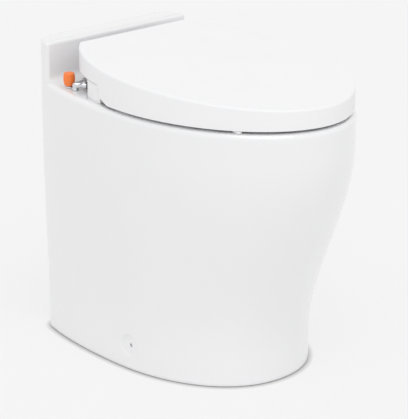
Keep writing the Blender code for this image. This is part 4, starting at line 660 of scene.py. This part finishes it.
def make_materials():
    drift, glaze, grain, lines, dust = (make_tone_drift(), make_glaze_waves(), make_moulded_grain(),
                                        make_metal_lines(), make_settled_dust())
    made = {}

    made["glazed_china"], tree, shader = new_material(
        "glazed_china", CHINA_COLOUR, 0.30, Coat_Weight=1.0, Coat_Roughness=0.12, Coat_IOR=1.5)
    toned = place_group(tree, drift, Scale=5.0, **shades(CHINA_COLOUR, 0.012))["Color"]
    tree.links.new(toned, shader.inputs["Base Color"])
    waves = place_group(tree, glaze, Wave_Scale=9.0, Peel_Scale=190.0, Peel_Share=0.05)["Height"]
    bump(tree, shader, waves, 0.05, 0.01)

    for name, (colour, gloss, scale) in MOULDED.items():
        made[name], tree, shader = new_material(name, colour, gloss[0])
        change = 0.01 if name.startswith("white") else 0.03
        toned = place_group(tree, drift, Scale=14.0, **shades(colour, change))["Color"]
        if name.startswith(("black", "grey", "clear")):
            veil = place_group(tree, dust, Amount=0.16)["Mask"]
            toned = mixed(tree, veil, toned, DUST_COLOUR)
        skin = place_group(tree, grain, Scale=scale, Gloss_Low=gloss[0], Gloss_High=gloss[1])
        dress(tree, shader, toned, skin, 0.12)

    for name, (colour, gloss, stretch) in METALS.items():
        made[name], tree, shader = new_material(name, colour, gloss[0], 1.0)
        toned = place_group(tree, drift, Scale=20.0, **shades(colour, 0.06))["Color"]
        skin = place_group(tree, lines, Stretch=stretch, Gloss_Low=gloss[0], Gloss_High=gloss[1])
        dress(tree, shader, toned, skin, 0.04)

    made["painted_motor"], tree, shader = new_material(
        "painted_motor", MOTOR_PAINT, 0.35, Coat_Weight=0.4, Coat_Roughness=0.15)
    toned = place_group(tree, drift, Scale=18.0, **shades(MOTOR_PAINT, 0.2))["Color"]
    veil = place_group(tree, dust, Amount=0.14)["Mask"]
    tree.links.new(mixed(tree, veil, toned, DUST_COLOUR), shader.inputs["Base Color"])
    peel = place_group(tree, glaze, Wave_Scale=60.0, Peel_Scale=420.0, Peel_Share=0.8)["Height"]
    bump(tree, shader, peel, 0.10, 0.0006)
    return made


def blend(z):
    """How far the skirt has swelled from the foot's outline to the rim's at a height."""
    t = min(max((z / RIM_Z - WAIST_START) / WAIST_SPAN, 0), 1)
    return t * t * (3 - 2 * t)


def skirt_outline(z, inward=0.0):
    part = blend(z)
    shape = [foot + (rim - foot) * part for foot, rim in zip(FOOT_SHAPE, RIM_SHAPE)]
    return outline_ring(shape, REAR_Y, REAR_CORNER, inward, SKIRT_STEPS, DIMPLE[0])


def skirt_ring(z, inward=0.0):
    return at_height(skirt_outline(z, inward), z)


def bowl_ring(narrowing, shift, grow, z):
    half_width = BOWL_HALF_WIDTH + (THROAT_RADIUS - BOWL_HALF_WIDTH) * narrowing + grow
    half_length = BOWL_HALF_LENGTH + (THROAT_RADIUS - BOWL_HALF_LENGTH) * narrowing + grow
    centre = BOWL_Y + (THROAT_Y - BOWL_Y) * shift
    shape = (half_width, centre, half_length, BOWL_POWER - BOWL_POWER_FALL * narrowing)
    return at_height(oval_toward(skirt_outline(RIM_Z), BOWL_Y, shape), z)


def bowl_section(steps):
    """Depth, narrowing and shift from the lip down to the throat, eased between the places of the table."""
    table = np.array(BOWL_SECTION)
    slopes = np.gradient(table[:, 1:], table[:, 0], axis=0)
    rows = []
    for depth in np.linspace(0, 1, steps):
        i = min(int(np.searchsorted(table[:, 0], depth, side="right")) - 1, len(table) - 2)
        width = table[i + 1, 0] - table[i, 0]
        t = (depth - table[i, 0]) / width
        value = ((2 * t ** 3 - 3 * t ** 2 + 1) * table[i, 1:] + (t ** 3 - 2 * t ** 2 + t) * width * slopes[i]
                 + (3 * t ** 2 - 2 * t ** 3) * table[i + 1, 1:] + (t ** 3 - t ** 2) * width * slopes[i + 1])
        rows.append((depth, *np.clip(value, 0, 1)))
    return rows


def quarter(radius, steps):
    """Inset and drop of points round a quarter circle, from the wall to the top."""
    turns = np.linspace(0, math.pi / 2, steps)
    return [(radius * (1 - math.cos(a)), radius * (1 - math.sin(a))) for a in turns]


def press_dimples(ring):
    """The round shallow seats of the side screws, pressed into the wall with a soft edge."""
    y, z = DIMPLE
    for point in ring:
        reach = math.hypot(point[1] - y, point[2] - z) / DIMPLE_RADIUS
        if reach < 1:
            edge = min(max((1 - reach) / DIMPLE_EDGE_SHARE, 0), 1)
            depth = (abs(point[0]) - DIMPLE_FLOOR_X) * edge * edge * (3 - 2 * edge)
            point[0] -= math.copysign(max(depth, 0), point[0])
    return ring


def china_rings():
    """Up the skirt, over the rim, down the bowl to its spigot, up its outside and down the skirt's inside."""
    levels = np.concatenate([np.linspace(0.006, 0.021, 4), np.linspace(0.0235, 0.0635, 18),
                             np.linspace(0.070, 0.430, 44)])
    rings = [skirt_ring(0, 0.003), skirt_ring(0.0008, 0.0014), skirt_ring(0.003)]
    rings += [press_dimples(skirt_ring(z)) for z in levels]
    rings += [skirt_ring(RIM_Z - drop, inward) for inward, drop in quarter(RIM_ROUND, 9)]
    rings += [skirt_ring(RIM_Z, inward) for inward in (0.012, 0.020)]
    lip = ((0.014, 0), (0.0075, 0), (0.0045, 0.0004), (0.002, 0.0017), (0.0006, 0.0035))
    rings += [bowl_ring(0, 0, grow, RIM_Z - drop) for grow, drop in lip]
    lip_z = RIM_Z - BOWL_LIP
    for depth, narrowing, shift in bowl_section(30):
        rings.append(bowl_ring(narrowing, shift, 0, lip_z - depth * (lip_z - THROAT_Z)))
    rings += [bowl_ring(1, 1, 0, SPIGOT_Z), bowl_ring(1, 1, BOWL_WALL, SPIGOT_Z)]
    for depth, narrowing, shift in reversed(bowl_section(14)[1:]):
        z = lip_z - depth * (lip_z - THROAT_Z) - BOWL_WALL * depth
        rings.append(bowl_ring(narrowing, shift, BOWL_WALL, z))
    under_deck = RIM_Z - DECK_THICK
    rings += [bowl_ring(0, 0, BOWL_WALL, under_deck)]
    inner_levels = (under_deck, 0.40, 0.34, 0.28, 0.22, 0.16, 0.11, 0.06, 0.02, 0)
    return rings + [skirt_ring(z, CHINA_WALL) for z in inner_levels]


def make_china():
    """Skirt, deck, bowl and spigot as one glazed skin, the backrest run into the deck, then the openings."""
    china = loft("china", china_rings(), wrap=True)
    boolean(china, "UNION", make_backrest(), make_backrest_fillet())
    cutters = [box("service", (-0.105, 0.2525, -0.01), (0.105, 0.29, 0.36))]
    y, z = SIDE_HOLE_Y, DIMPLE[1]
    for hand in (-1, 1):
        cutters.append(rod("side_hole", (hand * 0.140, y, z), (hand * 0.17, y, z), SIDE_HOLE_RADIUS))
        bolt = (hand * BOLT_HOLE[0], BOLT_HOLE[1])
        cutters.append(rod("bolt_hole", (*bolt, 0.42), (*bolt, 0.45), BOLT_HOLE_RADIUS))
    low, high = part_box("rinse_nozzle")
    z = (low.z + high.z) / 2
    cutters.append(rod("rinse_hole", (0, 0.045, z), (0, 0.075, z), RINSE_HOLE_RADIUS))
    boolean(china, "DIFFERENCE", joined("cutters", cutters))
    finish(china, "glazed_china", "toilet", "china_pedestal", angle=50)


def backrest_outline(inward):
    """Plan of the backrest: straight in front with rounded ends, and the rim's own outline behind."""
    base = half_outline(RIM_SHAPE, REAR_Y, REAR_CORNER)
    edge = np.interp(BACKREST_Y + BACKREST_CORNER, base[:, 1], base[:, 0])
    front, radius = BACKREST_Y + inward, BACKREST_CORNER - inward
    middle_x, middle_y = edge - BACKREST_CORNER, BACKREST_Y + BACKREST_CORNER
    bend = [(middle_x + radius * math.sin(a), middle_y - radius * math.cos(a))
            for a in np.linspace(0, math.pi / 2 * 0.93, 8)]
    behind = base[:, 1] > BACKREST_Y + BACKREST_CORNER * 1.1
    side = half_outline(RIM_SHAPE, REAR_Y, REAR_CORNER, inward)[behind]
    straight = [(edge * share, front) for share in (0.33, 0.66)]
    right = np.concatenate([straight, bend, side[:-2:3], side[-1:]])
    return np.concatenate([right, right[-2::-1] * (-1, 1), [(0, front)]])


def make_backrest():
    levels = [(BACKREST_SEAM, BACKREST_LOW)]
    levels += [(BACKREST_SEAM + inward, BACKREST_TOP - drop) for inward, drop in quarter(BACKREST_ROUND, 7)]
    return loft("backrest", [at_height(backrest_outline(inward), z) for inward, z in levels])


def make_backrest_fillet():
    """The soft hollow where the glaze runs from the backrest onto the deck."""
    sunk, reach = 0.0001, FILLET_REACH
    arc = [(BACKREST_Y + sunk - reach * (1 - math.sin(a)), RIM_Z - sunk + reach * (1 - math.cos(a)))
           for a in np.linspace(0, math.pi / 2, 9)]
    inside_y, low_z = BACKREST_Y + 0.01, RIM_Z - 0.006
    side = [(inside_y, low_z), (inside_y, RIM_Z + reach), *reversed(arc), (BACKREST_Y - reach, low_z)]
    return loft("fillet", [[(x, y, z) for y, z in side] for x in (FILLET_HALF_LENGTH, -FILLET_HALF_LENGTH)])


def lid_outline(inward):
    return outline_ring(LID_SHAPE, LID_REAR_Y, LID_CORNER, inward, LID_STEPS)


def lid_ring(inward, scale, height):
    return at_height((lid_outline(inward) - (0, LID_MIDDLE_Y)) * scale + (0, LID_MIDDLE_Y), height)


def lid_level(drop, crown=0.0):
    """The height of the lid's sloping top less a drop, with a share of its crown."""
    return lambda y: RIM_Z + LID_RISE + LID_SLOPE * (y - LID_REAR_Y) - drop + LID_CROWN * crown


def wall_level(share):
    """The height at a share of the lid's outer wall, between its lower edge and the round above."""
    return lambda y: SKIRT_Z + (lid_level(LID_ROUND)(y) - SKIRT_Z) * share


def across(name, side):
    """A hull over the part's whole width, its side given as (y, z) points."""
    return hull(name, [(x, y, z) for x in (-0.3, 0.3) for y, z in side])


def rear_step(front_y, top_z):
    """What is cut away behind a slanting step in the lower edge of the lid or the seat."""
    low_z, rear_y = 0.444, 0.28
    side = [(front_y - 0.004 * STEP_RUN, low_z), (front_y + (top_z - SKIRT_Z) * STEP_RUN, top_z),
            (rear_y, top_z), (rear_y, low_z)]
    return across("rear_step", side)


def step_toe():
    """The lid's lower edge already rises a little before it steps up over the cover."""
    side = [(0.040, 0.444), (0.040, SKIRT_Z - 0.0005), (0.0620, 0.4555), (0.0650, 0.4555), (0.0650, 0.444)]
    return across("step_toe", side)


def eye(hand, inner_x, arms):
    """One hinge eye, drawn out to the (y, z) places where it meets its piece."""
    points = []
    for x in (inner_x, inner_x + EYE_THICK):
        points += [(hand * x, HINGE[0] + dy, HINGE[1] + dz) for dy, dz in circle(EYE_RADIUS, 48)]
        points += [(hand * x, y, z) for y, z in arms]
    return hull("eye", points)


def add_eyes(piece, inner_x, arms, bore):
    """An eye on each side of the piece, then the bores through both."""
    boolean(piece, "UNION", *(eye(hand, inner_x, arms) for hand in (-1, 1)))
    bores = []
    for hand in (-1, 1):
        start, end = (hand * (inner_x - 0.002), *HINGE), (hand * (inner_x + 0.010), *HINGE)
        bores.append(rod("bore", start, end, bore))
    boolean(piece, "DIFFERENCE", joined("bores", bores))


def make_lid():
    """From the middle of the lid's inner side down, round its lower edge and up to the outer middle."""
    wall = LID_WALL
    rings = [[(0, LID_MIDDLE_Y, lid_level(wall, 1)(LID_MIDDLE_Y))]]
    rings += [lid_ring(wall, share, lid_level(wall, 1 - share ** 2)) for share in reversed(LID_CROWN_SHARES)]
    inner_round = ((0.0024, 0), (0.0007, 0.0007), (0, 0.0024))
    rings += [lid_ring(wall + inward, 1, lid_level(wall + drop)) for inward, drop in inner_round]
    rings += [lid_ring(wall, 1, SKIRT_Z + 0.0006), lid_ring(wall - 0.0006, 1, SKIRT_Z),
              lid_ring(0.0005, 1, SKIRT_Z), lid_ring(0, 1, SKIRT_Z + 0.0005)]
    rings += [lid_ring(0, 1, wall_level(share)) for share in (0.35, 0.7)]
    rings += [lid_ring(inward, 1, lid_level(drop)) for inward, drop in quarter(LID_ROUND, 8)]
    rings += [lid_ring(0, share, lid_level(0, 1 - share ** 2)) for share in LID_CROWN_SHARES]
    rings.append([(0, LID_MIDDLE_Y, lid_level(0, 1)(LID_MIDDLE_Y))])
    lid = loft("lid_shell", rings)
    boolean(lid, "DIFFERENCE", rear_step(*LID_STEP), step_toe())
    roof = lid_level(0.0015)(HINGE[0])
    arms = [(HINGE[0] - EYE_RADIUS, roof), (HINGE[0] + 0.0064, roof)]
    add_eyes(lid, LID_EYE_X, arms, EYE_BORE)
    finish(lid, "white_seat_plastic", "lid_body", "lid", angle=50)


def seat_outline(inward):
    return outline_ring(LID_SHAPE, SEAT_REAR_Y, SEAT_CORNER, SEAT_INSET + inward, LID_STEPS)


def seat_opening(outward, height):
    half_width, centre, half_length = SEAT_HOLE
    hole = (half_width + outward, centre, half_length + outward, 2)
    return at_height(oval_toward(seat_outline(0), centre, hole), height)


def make_seat():
    """The seat ring: up its outer side, over its soft top and down its opening."""
    rings = [at_height(seat_outline(0.0008), SKIRT_Z), at_height(seat_outline(0), SKIRT_Z + 0.0008)]
    for inward, drop in quarter(SEAT_ROUND, 8):
        rings.append(at_height(seat_outline(inward), lid_level(SEAT_UNDER_LID + drop)))
    inner_edge = ((0.022, 0.0004), (0.012, 0.0012), (0.006, 0.0032), (0.002, 0.0068), (0, 0.0115))
    rings += [seat_opening(outward, lid_level(SEAT_UNDER_LID + drop)) for outward, drop in inner_edge]
    rings += [seat_opening(0, SKIRT_Z + 0.001), seat_opening(0.001, SKIRT_Z)]
    seat = loft("seat", rings, wrap=True)
    boolean(seat, "DIFFERENCE", rear_step(*SEAT_STEP))
    arms = [(0.1515, 0.4803), (0.1455, 0.4928)]
    add_eyes(seat, SEAT_EYE_X, arms, EYE_BORE)
    finish(seat, "white_seat_plastic", "seat_body", "seat_ring", angle=50)


def make_bumpers():
    """The soft bumpers under the lid and the seat, round-cornered and a little domed."""
    flat = circle(1, 40)
    plan = np.sign(flat) * np.abs(flat) ** 0.45
    for node in frame["nodes"]:
        if "_pads_" not in node:
            continue
        low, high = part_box(node)
        middle, half = (low + high) / 2, (high - low) / 2
        levels = ((0.0006, low.z), (0, low.z + 0.0006), (0, high.z - 0.0012), (0.0005, high.z - 0.0004),
                  (0.0016, high.z))
        rings = [at_height(plan * (half.x - inward, half.y - inward) + (middle.x, middle.y), z)
                 for inward, z in levels]
        body = frame["nodes"][node]["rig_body"]
        finish(loft("fine_" + node, rings), "white_pad_rubber", body, node)


def cover_outline(inward):
    """Straight from the front corner until it meets the lid's wall, then flush with that."""
    side = lid_outline(COVER_INSET)[:LID_STEPS + 1]
    wall = side[side[:, 0].argmax():]
    front, step, rear = COVER_FRONT_Y + inward, COVER_STEP_Y - inward, COVER_REAR_Y - inward
    made = [(min(np.interp(y, wall[:, 1], wall[:, 0]), COVER_WIDEST_X) - inward, y)
            for y in np.linspace(front, step, 10)]
    narrow = COVER_NARROW_X - inward
    made += [(narrow, step), (narrow, rear)]
    return np.array(made + [(-x, y) for x, y in reversed(made)])


def make_bidet_cover():
    """The hollow cover with its hinge lugs, and its openings for the wand and for the water inlet."""
    low, top, wall = COVER_LOW, COVER_TOP, COVER_WALL
    levels = [(wall, top - wall), (wall, low), (0, low)]
    levels += [(inward, top - drop) for inward, drop in quarter(COVER_ROUND, 4)]
    cover = loft("cover", [at_height(cover_outline(inward), z) for inward, z in levels])
    arms = [(0.1585, HINGE[1] - 0.0056), (0.1585, top - 0.0025)]
    add_eyes(cover, COVER_EYE_X, arms, LUG_BORE)
    out = Vector((0, -math.cos(WAND_TILT), -math.sin(WAND_TILT)))
    boolean(cover, "DIFFERENCE", rod("wand_hole", WAND_TIP - out * 0.0075, WAND_TIP + out * 0.004, 0.0059))
    inlet = [FITTING_NUT + INTO_COVER * along for along in (0.0003, 0.017)]
    boolean(cover, "DIFFERENCE", rod("inlet_hole", *inlet, 0.0041))
    soften(cover, 0.0007, angle=50)
    finish(cover, "white_base_plastic", "toilet", "bidet_cover")


def make_bidet_base():
    """The plate under the cover, with an edge that closes the joint below the cover's wall."""
    base = refined("bidet_base", "white_base_plastic", 0.0006)
    low, high = BASE_EDGE
    section = ((BASE_EDGE_DEPTH, low), (0, low), (0, high), (BASE_EDGE_DEPTH, high))
    edge = loft("edge", [at_height(cover_outline(inward), z) for inward, z in section], wrap=True)
    boolean(base, "UNION", edge)


def make_water_fitting():
    """Barrel, elbow post, low arm and port in one chrome casting, then the union and its ring."""
    nut, elbow, port, inward = FITTING_NUT, FITTING_ELBOW, Vector(PORT_PLACE), INTO_COVER
    below_elbow = Vector((elbow.x, elbow.y, port.z))
    length = (nut - elbow).length - 0.0043
    barrel_side = [(0, 0), (0.0050, 0), (0.0050, length * 0.50), (0.0046, length * 0.52),
                   (0.0046, length * 0.62), (0.0054, length * 0.64), (0.0054, length), (0, length)]
    barrel = turned("fitting", rounded(barrel_side, 0.0004), elbow, inward)
    post_side = [(0, 0), (0.0054, 0), (0.0054, 0.0018), (0.0047, 0.0028), (0.0050, 0.0085), (0.0045, 0.0115),
                 (0.0027, 0.0129), (0, 0.0132)]
    post = turned("post", rounded(post_side, 0.0008), below_elbow, UP)
    run = (port - below_elbow).normalized()
    aside = Vector((-run.y, run.x, 0)) * 0.0026
    arm = hull("arm", [end + side + Vector((0, 0, z)) for end in (below_elbow, port)
                       for side in (aside, -aside) for z in (0.0006, 0.0030)])
    ring = turned("ring", rounded([(0, 0), (0.0062, 0), (0.0062, 0.0033), (0, 0.0033)], 0.0006), port, UP)
    boss_side = [(0, 0), (0.0035, 0), (0.0035, 0.0063), (0.0030, 0.0070), (0, 0.0070)]
    boss = turned("boss", rounded(boss_side, 0.0003), LEVER_PIVOT, UP)
    boolean(barrel, "UNION", post, arm, ring, boss)
    bore = [port + Vector((0, 0, z)) for z in (0.0012, 0.01)]
    boolean(barrel, "DIFFERENCE", rod("port_bore", *bore, 0.0042))
    soften(barrel, 0.00025, angle=50)
    finish(barrel, "chrome", "toilet", "water_fitting")

    seal_side = [(0.0036, 0), (0.0057, 0), (0.0057, 0.0009), (0.0036, 0.0009)]
    seal = turned("union_ring", rounded(seal_side, 0.0003), nut - inward * 0.0042, inward, wrap=True)
    finish(seal, "black_rubber", "toilet")
    union_side = [(0.0046, 0), (0.0055, 0.0006), (0.0055, 0.0025), (0.0046, 0.0031)]
    union = turned("union", union_side, nut - inward * 0.0032, inward, 6)
    boolean(union, "UNION", rod("stub", nut - inward * 0.002, nut + inward * 0.013, 0.0035))
    soften(union, 0.0003)
    finish(union, "chrome", "toilet", "inlet_union")


def make_lever():
    """A thin stamped blade from the hub, with a slotted screw on top."""
    x, y, low = LEVER_PIVOT.x, LEVER_PIVOT.y, LEVER_Z
    outline = [(x + 0.0038 * math.cos(a), y + 0.0038 * math.sin(a)) for a in np.linspace(-2.5, 2.5, 28)]
    edge = [(-0.006, 0.0019), (-0.012, 0.0018), (-0.0155, 0.0020), (-0.0168, 0.0014)]
    outline += [(x + along, y + half) for along, half in edge]
    outline += [(x + along, y - half) for along, half in reversed(edge)]
    blade = loft("lever", [at_height(np.array(outline), z) for z in (low, low + 0.0016)])
    head_side = [(0, 0), (0.0018, 0), (0.0018, 0.0022), (0.0029, 0.0026), (0.0029, 0.0038), (0.0020, 0.0046),
                 (0, 0.0048)]
    boolean(blade, "UNION", turned("head", rounded(head_side, 0.0003), (x, y, low + 0.0004), UP))
    slot = box("slot", (x - 0.004, y - 0.0004, low + 0.0043), (x + 0.004, y + 0.0004, low + 0.007))
    boolean(blade, "DIFFERENCE", slot)
    soften(blade, 0.0002)
    finish(blade, "dull_chrome", "lever", "valve_lever", slot="chrome")


def make_plug():
    """The orange plug: a bulged barrel with a flat top, a moulded rim, fine grooves and a narrow foot."""
    x, y = PORT_PLACE[:2]
    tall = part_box("orange_plug")[1].z - PLUG_Z
    side = [(0, PLUG_Z - 0.0012), (0.0037, PLUG_Z - 0.0012), (0.0037, PLUG_Z), (0.0060, PLUG_Z)]
    side += [(radius, PLUG_Z + tall * share) for radius, share in PLUG_SECTION]
    plug = turned("plug", rounded(side, 0.0007, 4), (x, y, 0), UP)
    grooves = []
    for a in np.arange(PLUG_GROOVES) * 2 * math.pi / PLUG_GROOVES:
        ends = [(x + radius * math.cos(a), y + radius * math.sin(a), PLUG_Z + tall * share)
                for radius, share in ((0.0103, 0.22), (0.0101, 0.80))]
        grooves.append(rod("groove", *ends, 0.0011, 16))
    boolean(plug, "DIFFERENCE", joined("grooves", grooves))
    finish(plug, "orange_plastic", "plug", "orange_plug")


def make_pump():
    """The motor's can with two grooves round it, its slotted end cap, and the heads of two screws."""
    can_side = [(0.009, 0), (0.0435, 0), (0.045, 0.0015), (0.045, 0.0060), (0.0444, 0.0066), (0.0444, 0.0084),
                (0.045, 0.0090), (0.045, 0.0960), (0.0444, 0.0966), (0.0444, 0.0984), (0.045, 0.0990),
                (0.045, 0.105), (0.042, 0.105), (0.042, 0.003), (0.009, 0.003)]
    can = turned("motor", rounded(can_side, 0.0005), (0, MOTOR_Y, PUMP_Z), REARWARD, 96, wrap=True)
    finish(can, "painted_motor", "toilet", "motor_can")
    cap_side = [(0.0415, -0.003), (0.0417, 0), (0.045, 0), (0.045, 0.0042), (0.0435, 0.0055),
                (0.0365, 0.0078), (0.014, 0.0080), (0.012, 0.0068), (0, 0.0068)]
    cap = turned("end_cap", rounded(cap_side, 0.0008), (0, MOTOR_END_Y + 0.0003, PUMP_Z), REARWARD, 96)
    slots = []
    for a in np.arange(COOLING_SLOTS) * 2 * math.pi / COOLING_SLOTS:
        c, s = math.cos(a), math.sin(a)
        corners = itertools.product((0.020, 0.032), (-0.0014, 0.0014), (0.0065, 0.010))
        slots.append(hull("slot", [(c * r - s * w, MOTOR_END_Y + d, PUMP_Z + s * r + c * w)
                                   for r, w, d in corners]))
    boolean(cap, "DIFFERENCE", joined("slots", slots))
    soften(cap, 0.0004)
    finish(cap, "black_plastic", "toilet", "motor_end_cap")
    head_side = [(0, 0), (0.0030, 0), (0.0030, 0.0022), (0.0022, 0.0028), (0, 0.0029)]
    screws = []
    for a in (math.radians(45), math.radians(225)):
        place = (SCREW_CIRCLE * math.cos(a), MOTOR_END_Y + 0.0050, PUMP_Z + SCREW_CIRCLE * math.sin(a))
        screws.append(turned("through_screw", rounded(head_side, 0.0003), place, REARWARD, 32))
    finish(joined("motor_screws", screws), "stainless", "toilet")


def make_hidden_pieces():
    """Everything else keeps its CAD form, with soft edges or finer roundness."""
    for node, material in ROUND_NODES.items():
        refined(node, material, levels=2)
    for node, (material, width) in SOFT_NODES.items():
        refined(node, material, width)


def seen_ray(tree):
    """1 for rays that show a thing to the camera, straight or by metal and glass, and 0 for others."""
    rays = tree.nodes.new("ShaderNodeLightPath").outputs
    mirrored = maths(tree, "MAXIMUM", rays["Is Glossy Ray"], rays["Is Transmission Ray"])
    return maths(tree, "MAXIMUM", rays["Is Camera Ray"], mirrored)


def make_floor():
    """A pale floor out to the horizon that glows for the camera, with painted shade darkening that glow close
    under the part.
    """
    floor = link("floor", bpy.data.meshes.new("floor"))
    side = FLOOR_HALF_SIDE
    floor.data.from_pydata([(-side, -side, 0), (side, -side, 0), (side, side, 0), (-side, side, 0)], [],
                           [(0, 1, 2, 3)])
    paper, tree, shader = new_material("floor_paper", FLOOR_COLOUR, 0.9, Specular_IOR_Level=0.0)
    grain = noise(tree, own_place(tree), 3.0)
    tones = [(*(channel * change for channel in FLOOR_COLOUR), 1) for change in (0.998, 1.002)]
    tree.links.new(mixed(tree, grain, *tones), shader.inputs["Base Color"])
    # Painted shadow: ambient occlusion darkens the floor's glow close under the part, standing in for its
    # contact shadow
    shade = tree.nodes.new("ShaderNodeAmbientOcclusion")
    shade.inputs["Distance"].default_value = CONTACT_SHADE
    glow, mix = tree.nodes.new("ShaderNodeEmission"), tree.nodes.new("ShaderNodeMixShader")
    tree.links.new(mixed(tree, shade.outputs["AO"], (0, 0, 0, 1), BACKDROP_COLOUR), glow.inputs["Color"])
    tree.links.new(maths(tree, "MULTIPLY", seen_ray(tree), GLOW_SHARE), mix.inputs["Fac"])
    tree.links.new(shader.outputs["BSDF"], mix.inputs[1])
    tree.links.new(glow.outputs["Emission"], mix.inputs[2])
    tree.links.new(mix.outputs["Shader"], tree.nodes["Material Output"].inputs["Surface"])
    floor.data.materials.append(paper)


def make_world():
    """A white sky that lights the part, and the floor's pale grey in its place where the camera sees it."""
    world = bpy.data.worlds.new("soft_room")
    world.use_nodes = True
    tree = world.node_tree
    tree.nodes.clear()
    sky, backdrop = tree.nodes.new("ShaderNodeBackground"), tree.nodes.new("ShaderNodeBackground")
    sky.inputs["Color"].default_value = (1, 1, 1, 1)
    sky.inputs["Strength"].default_value = SKY_STRENGTH
    backdrop.inputs["Color"].default_value = BACKDROP_COLOUR
    mix = tree.nodes.new("ShaderNodeMixShader")
    tree.links.new(seen_ray(tree), mix.inputs["Fac"])
    tree.links.new(sky.outputs["Background"], mix.inputs[1])
    tree.links.new(backdrop.outputs["Background"], mix.inputs[2])
    tree.links.new(mix.outputs["Shader"], tree.nodes.new("ShaderNodeOutputWorld").inputs["Surface"])
    bpy.context.scene.world = world


def make_lamp():
    lamp = bpy.data.lights.new("front_lamp", "SUN")
    lamp.energy = LAMP_STRENGTH
    lamp.angle = math.radians(LAMP_SPREAD)
    holder = link("front_lamp", lamp)
    a, e = math.radians(LAMP_AZIMUTH), math.radians(LAMP_HEIGHT)
    toward = Vector((math.sin(a) * math.cos(e), -math.cos(a) * math.cos(e), math.sin(e)))
    holder.rotation_euler = toward.to_track_quat("Z", "Y").to_euler()
    holder.location = toward * 3


def make_camera():
    camera = bpy.data.cameras.new("camera")
    camera.lens = FOCAL_PIXELS * camera.sensor_width / PHOTO_SIDE_PIXELS
    camera.clip_end = 60
    holder = link("camera", camera)
    azimuth, elevation = CAMERA_AZIMUTH, CAMERA_ELEVATION
    forward = Vector((-math.sin(azimuth) * math.cos(elevation), math.cos(azimuth) * math.cos(elevation),
                      -math.sin(elevation)))
    holder.location = CAMERA_PLACE
    holder.rotation_euler = forward.to_track_quat("-Z", "Y").to_euler()
    bpy.context.scene.camera = holder


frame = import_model()
MATERIALS = make_materials()
make_camera()
make_floor()
make_world()
make_lamp()
make_china()
make_lid()
make_seat()
make_bumpers()
make_bidet_cover()
make_bidet_base()
make_water_fitting()
make_lever()
make_plug()
make_pump()
make_hidden_pieces()
bpy.context.scene.view_settings.view_transform = "Standard"
